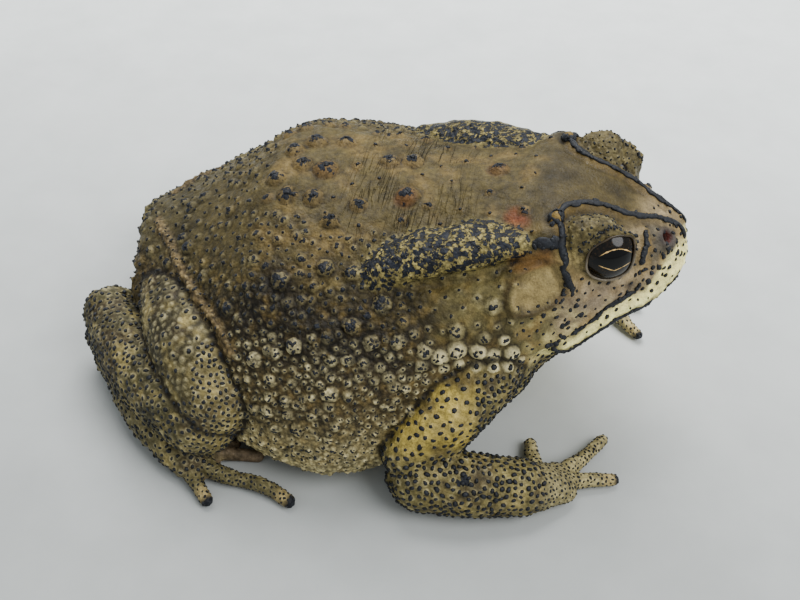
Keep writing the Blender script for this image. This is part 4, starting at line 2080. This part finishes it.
    def ridges_object(self) -> Thing:
        """Joins every ridge of the head.

        Returns:
            The object.
        """
        form, lip = self.form, self.upper_lip
        lines = [(getattr(form, name), half, rise) for name, half, rise in self.ridges]
        lines += [(lip[:3], 0.55, 0.34), (lip[2:5], 0.58, 0.34), (lip[4:8], 0.62, 0.34), (lip[7:], 0.50, 0.32),
                  (self.rear_spur, 0.80, 0.35), (self.outer_spur, 0.62, 0.32), (self.temple, 0.80, 0.30),
                  (form.behind_eye[3:7], 0.66, 0.66), (form.mouth[:10], 0.46, 0.26), (form.mouth[11:14], 0.42, 0.24)]
        whole = bmesh.new()
        for side in SIDES:
            for path, half, rise in lines:
                pour(self.ridge(path, side, half, rise), whole)
        return as_object(whole, "horn_ridges")

    def wart_tips(self) -> Tips:
        """Places the tips of every wart.

        Returns:
            Root, direction, radius and height of each.
        """
        rng = random.Random(self.seed)
        places = []
        for wart in self.form.warts:
            spec = wart.zone.value
            fewest, most = spec.tips
            size = (wart.radius - spec.least) / max(0.01, spec.greatest - spec.least)
            count = round(fewest + (most - fewest) * size + rng.uniform(-0.5, 0.5))
            spot = Vector(wart.spot + wart.outward * wart.height)
            turn = Vector(wart.outward).to_track_quat("Z", "Y")
            for _ in range(count):
                out = wart.radius * spec.spread * (math.sqrt(rng.random()) if count > 1 else 0.2 * rng.random())
                angle = rng.uniform(0, 2 * math.pi)
                root, outward = self.on_skin(spot + turn @ Vector((out * math.cos(angle), out * math.sin(angle), 0)))
                if root.z < 0.7:
                    continue
                radius = rng.uniform(*spec.tip) * (0.72 + 0.36 * wart.radius / spec.greatest)
                lean = (outward * 2 + Vector(wart.outward)).normalized()
                places.append((root, lean, radius, radius * spec.tip_height))
        return places

    def blob_tips(self) -> Tips:
        """Places the dark drops on the cheeks and the snout, each of a few merged caps.

        Returns:
            Root, direction, radius and height of each.
        """
        rng = random.Random(self.seed + 2)
        places = []
        for side in SIDES:
            for x, y, z, radius in self.blobs:
                for _ in range(4):
                    jitter = Vector([rng.uniform(-0.8, 0.8) * radius for _ in range(3)])
                    root, outward = self.on_skin(Vector((x, y * side, z)) + jitter)
                    places.append((root, outward, radius * rng.uniform(0.9, 1.35), 0.26))
            rim = self.form.eye.rim_points(side, 6.4, 84, widen=0.24)
            for spot in rim[rim[:, 2] > EYE_CENTRE[2] + 2]:
                root, outward = self.on_skin(Vector(spot) + Vector([rng.uniform(-0.3, 0.3) for _ in range(3)]))
                places.append((root, outward, rng.uniform(0.18, 0.36), 0.22))
        return places

    def digit_tips(self) -> Tips:
        """Places the horny pads at the ends of toes and fingers.

        Returns:
            Root, direction, radius and height of each.
        """
        places = []
        for side in SIDES:
            for path in self.form.limbs.dark_digits(side):
                ahead = Vector(path[-1, :3] - path[-2, :3]).normalized()
                radius = path[-1, 3]
                places.append((Vector(path[-1, :3]) + ahead * radius * 0.62, ahead, radius * 0.84, radius * 0.50))
        return places


@dataclass
class LidRims:
    """Moist rims of the lids round each eye."""

    eye: EyeFrame
    thickness: float = 0.22
    above: Row = (58, 46, 26)
    below: Row = (108, 98, 80)

    def build(self, side: int, label: str) -> Thing:
        """Makes one closed rim by sweeping a circle round the opening.

        Args:
            side: 1 for the left side, -1 for the right one.
            label: Name of the side.

        Returns:
            The object.
        """
        count, sides = 96, 10
        rim = self.eye.rim_points(side, self.eye.radius + 0.16, count, widen=0.015)
        centre = self.eye.centre(side)
        mesh = bmesh.new()
        rings = []
        for index in range(count):
            tangent = rim[(index + 1) % count] - rim[index - 1]
            tangent /= np.linalg.norm(tangent)
            out = rim[index] - centre
            out /= np.linalg.norm(out)
            across = np.cross(tangent, out)
            ring = bmesh.ops.create_circle(mesh, segments=sides, radius=self.thickness)["verts"]
            for vertex in ring:
                u, v, _ = vertex.co
                vertex.co = rim[index] + across * u + out * v
            rings.append(ring)
        mesh.edges.ensure_lookup_table()
        edges = [list({edge for vertex in ring for edge in vertex.link_edges}) for ring in rings]
        for index in range(count):
            bmesh.ops.bridge_loops(mesh, edges=edges[index] + edges[(index + 1) % count])
        bmesh.ops.recalc_face_normals(mesh, faces=mesh.faces)
        thing = as_object(mesh, "lid_rim_" + label)
        up = (spots_of(thing.data.vertices) - centre) @ self.eye.axes(side)[1]
        share = grow(up / self.eye.radius, -0.30, 0.10)[:, None]
        colour = linear(*self.below) * (1 - share) + linear(*self.above) * share
        layer = thing.data.color_attributes.new("tone", "FLOAT_COLOR", "POINT")
        layer.data.foreach_set("color", np.concatenate([colour, np.ones_like(share)], axis=1).ravel())
        return thing


@dataclass
class Eyeball:
    """One eyeball, smaller where the lids hide it."""

    eye: EyeFrame

    def build(self, side: int, label: str) -> Thing:
        """Makes the eyeball and writes across, up and out of each vertex, as shares of its radius.

        Args:
            side: 1 for the left side, -1 for the right one.
            label: Name of the side.

        Returns:
            The object.
        """
        centre, axes = self.eye.centre(side), self.eye.axes(side)

        def place(along: Array, around: Array) -> Array:
            """Places vertices.

            Args:
                along: Shares from end to end.
                around: Angles round it in radians.

            Returns:
                The places on the eyeball.
            """
            local = sphere(along, around)
            out = np.arccos(np.clip(local[:, 2], -1, 1))
            reach = self.eye.reach(np.arctan2(local[:, 1], local[:, 0]), out)
            return centre + reach[:, None] * local @ axes

        thing = as_object(shaped_ball(96, 72, place), "eyeball_" + label)
        gaze = (spots_of(thing.data.vertices) - centre) / self.eye.radius @ axes.T
        layer = thing.data.attributes.new("gaze", "FLOAT_VECTOR", "POINT")
        layer.data.foreach_set("vector", gaze.ravel())
        return thing


@dataclass
class Toad:
    """The whole animal: builds its pieces, dresses them and ties them to the solids."""

    placing: Placing
    form: SkinForm = field(default_factory=SkinForm)

    def finish(self, thing: Thing, material: bpy.types.Material) -> None:
        """Dresses one piece, puts it in the frame and ties it to the model.

        Args:
            thing: The piece.
            material: Its material.
        """
        thing.data.materials.clear()
        thing.data.materials.append(material)
        self.placing.settle(thing)
        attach(thing, "root")
        LOG.info("%s: %d faces", thing.name, len(thing.data.polygons))

    def build(self) -> None:
        """Builds every piece of the toad."""
        skin, maps = self.form.build()
        maps.write()
        self.form.thin_out(skin)
        surface = BVHTree.FromPolygons([vertex.co.copy() for vertex in skin.data.vertices],
                                       [tuple(face.vertices) for face in skin.data.polygons])
        marks = HornMarks(self.form, surface)
        horn = HornFinish().material()
        tips = HornTips()
        ridges = marks.ridges_object()
        groups = ((marks.wart_tips(), "wart_tips"), (marks.crowns, "ridge_crowns"),
                  (marks.blob_tips(), "head_drops"), (marks.digit_tips(), "digit_pads"))
        for places, name in groups:
            for thing in tips.build(places, name):
                self.finish(thing, horn)
        self.finish(ridges, horn)
        rims, balls = LidRims(self.form.eye), Eyeball(self.form.eye)
        rim_skin, eye_skin = LidFinish().material(), EyeFinish().material()
        for side, label in zip(SIDES, ("right", "left")):
            self.finish(rims.build(side, label), rim_skin)
            eyeball = balls.build(side, label)
            self.finish(eyeball, eye_skin)
            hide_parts("eye_" + label)
        self.finish(skin, SkinFinish().material())
        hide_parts(*[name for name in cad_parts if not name.startswith("eye_")])


@dataclass
class Studio:
    """Camera, lights and floor."""

    placing: Placing
    azimuth: float = 11.21
    elevation: float = 43.18
    distance: float = 178.0
    roll: float = 1.34
    target: Row = (52.94, -12.14, 25)
    lens: float = 45.0
    floor_size: float = 8.0
    lights: tuple[tuple[str, Row, float, float], ...] = (("sky", (-0.15, 0.55, 1), 0.9, 17),
                                                         ("window", (0.62, -0.26, 0.75), 0.66, 8))
    air: Row = (0.92, 0.96, 1, 1)
    air_strength: float = 0.62

    def camera(self) -> None:
        """Sets the camera at the photograph's angle."""
        az, el, roll = (math.radians(value) for value in (self.azimuth, self.elevation, self.roll))
        back = Vector((math.sin(az) * math.cos(el), -math.cos(az) * math.cos(el), math.sin(el)))
        right = Vector((math.cos(az), math.sin(az), 0))
        up = back.cross(right)
        level_right = right * math.cos(roll) + up * math.sin(roll)
        level_up = up * math.cos(roll) - right * math.sin(roll)
        data = bpy.data.cameras.new("camera")
        data.lens, data.sensor_width = self.lens, 36
        data.clip_start, data.clip_end = 0.005, 20
        camera = new_object("camera", data)
        turn = Matrix((level_right, level_up, back)).transposed().to_4x4()
        camera.matrix_world = Matrix.Translation(self.placing.point(self.target) + back * self.distance * MM) @ turn
        bpy.context.scene.camera = camera

    def light(self, name: str, place: Row, size: float, power: float) -> None:
        """Adds one soft round light aimed at the toad.

        Args:
            name: Its name.
            place: Where it hangs, in metres.
            size: How wide it is, in metres.
            power: Its power in watts.
        """
        data = bpy.data.lights.new(name, "AREA")
        data.shape, data.size, data.energy = "DISK", size, power
        thing = new_object(name, data)
        thing.location = place
        thing.rotation_euler = (Vector((0, 0, 0.02)) - Vector(place)).to_track_quat("-Z", "Y").to_euler()

    def floor(self) -> None:
        """Lays the plain floor."""
        mesh = bmesh.new()
        bmesh.ops.create_grid(mesh, x_segments=8, y_segments=8, size=self.floor_size / 2)
        thing = as_object(mesh, "studio_floor")
        thing.data.materials.append(FloorFinish().material())
        thing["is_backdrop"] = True

    def build(self) -> None:
        """Sets up the whole studio."""
        self.camera()
        self.floor()
        for light in self.lights:
            self.light(*light)
        world = bpy.data.worlds.new("studio")
        world.use_nodes = True
        background = world.node_tree.nodes["Background"]
        background.inputs["Color"].default_value = self.air
        background.inputs["Strength"].default_value = self.air_strength
        bpy.context.scene.world = world


def corners() -> list[list[float]]:
    """Gives the shown object's box as plain lists."""
    return [[float(value) for value in corner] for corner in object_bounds()]


def main() -> None:
    """Builds the toad and its studio."""
    logging.basicConfig(level=logging.INFO, format="%(message)s")
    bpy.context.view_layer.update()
    placing = Placing.from_eye()
    Toad(placing).build()
    Studio(placing).build()


if __name__ == "__main__":
    main()
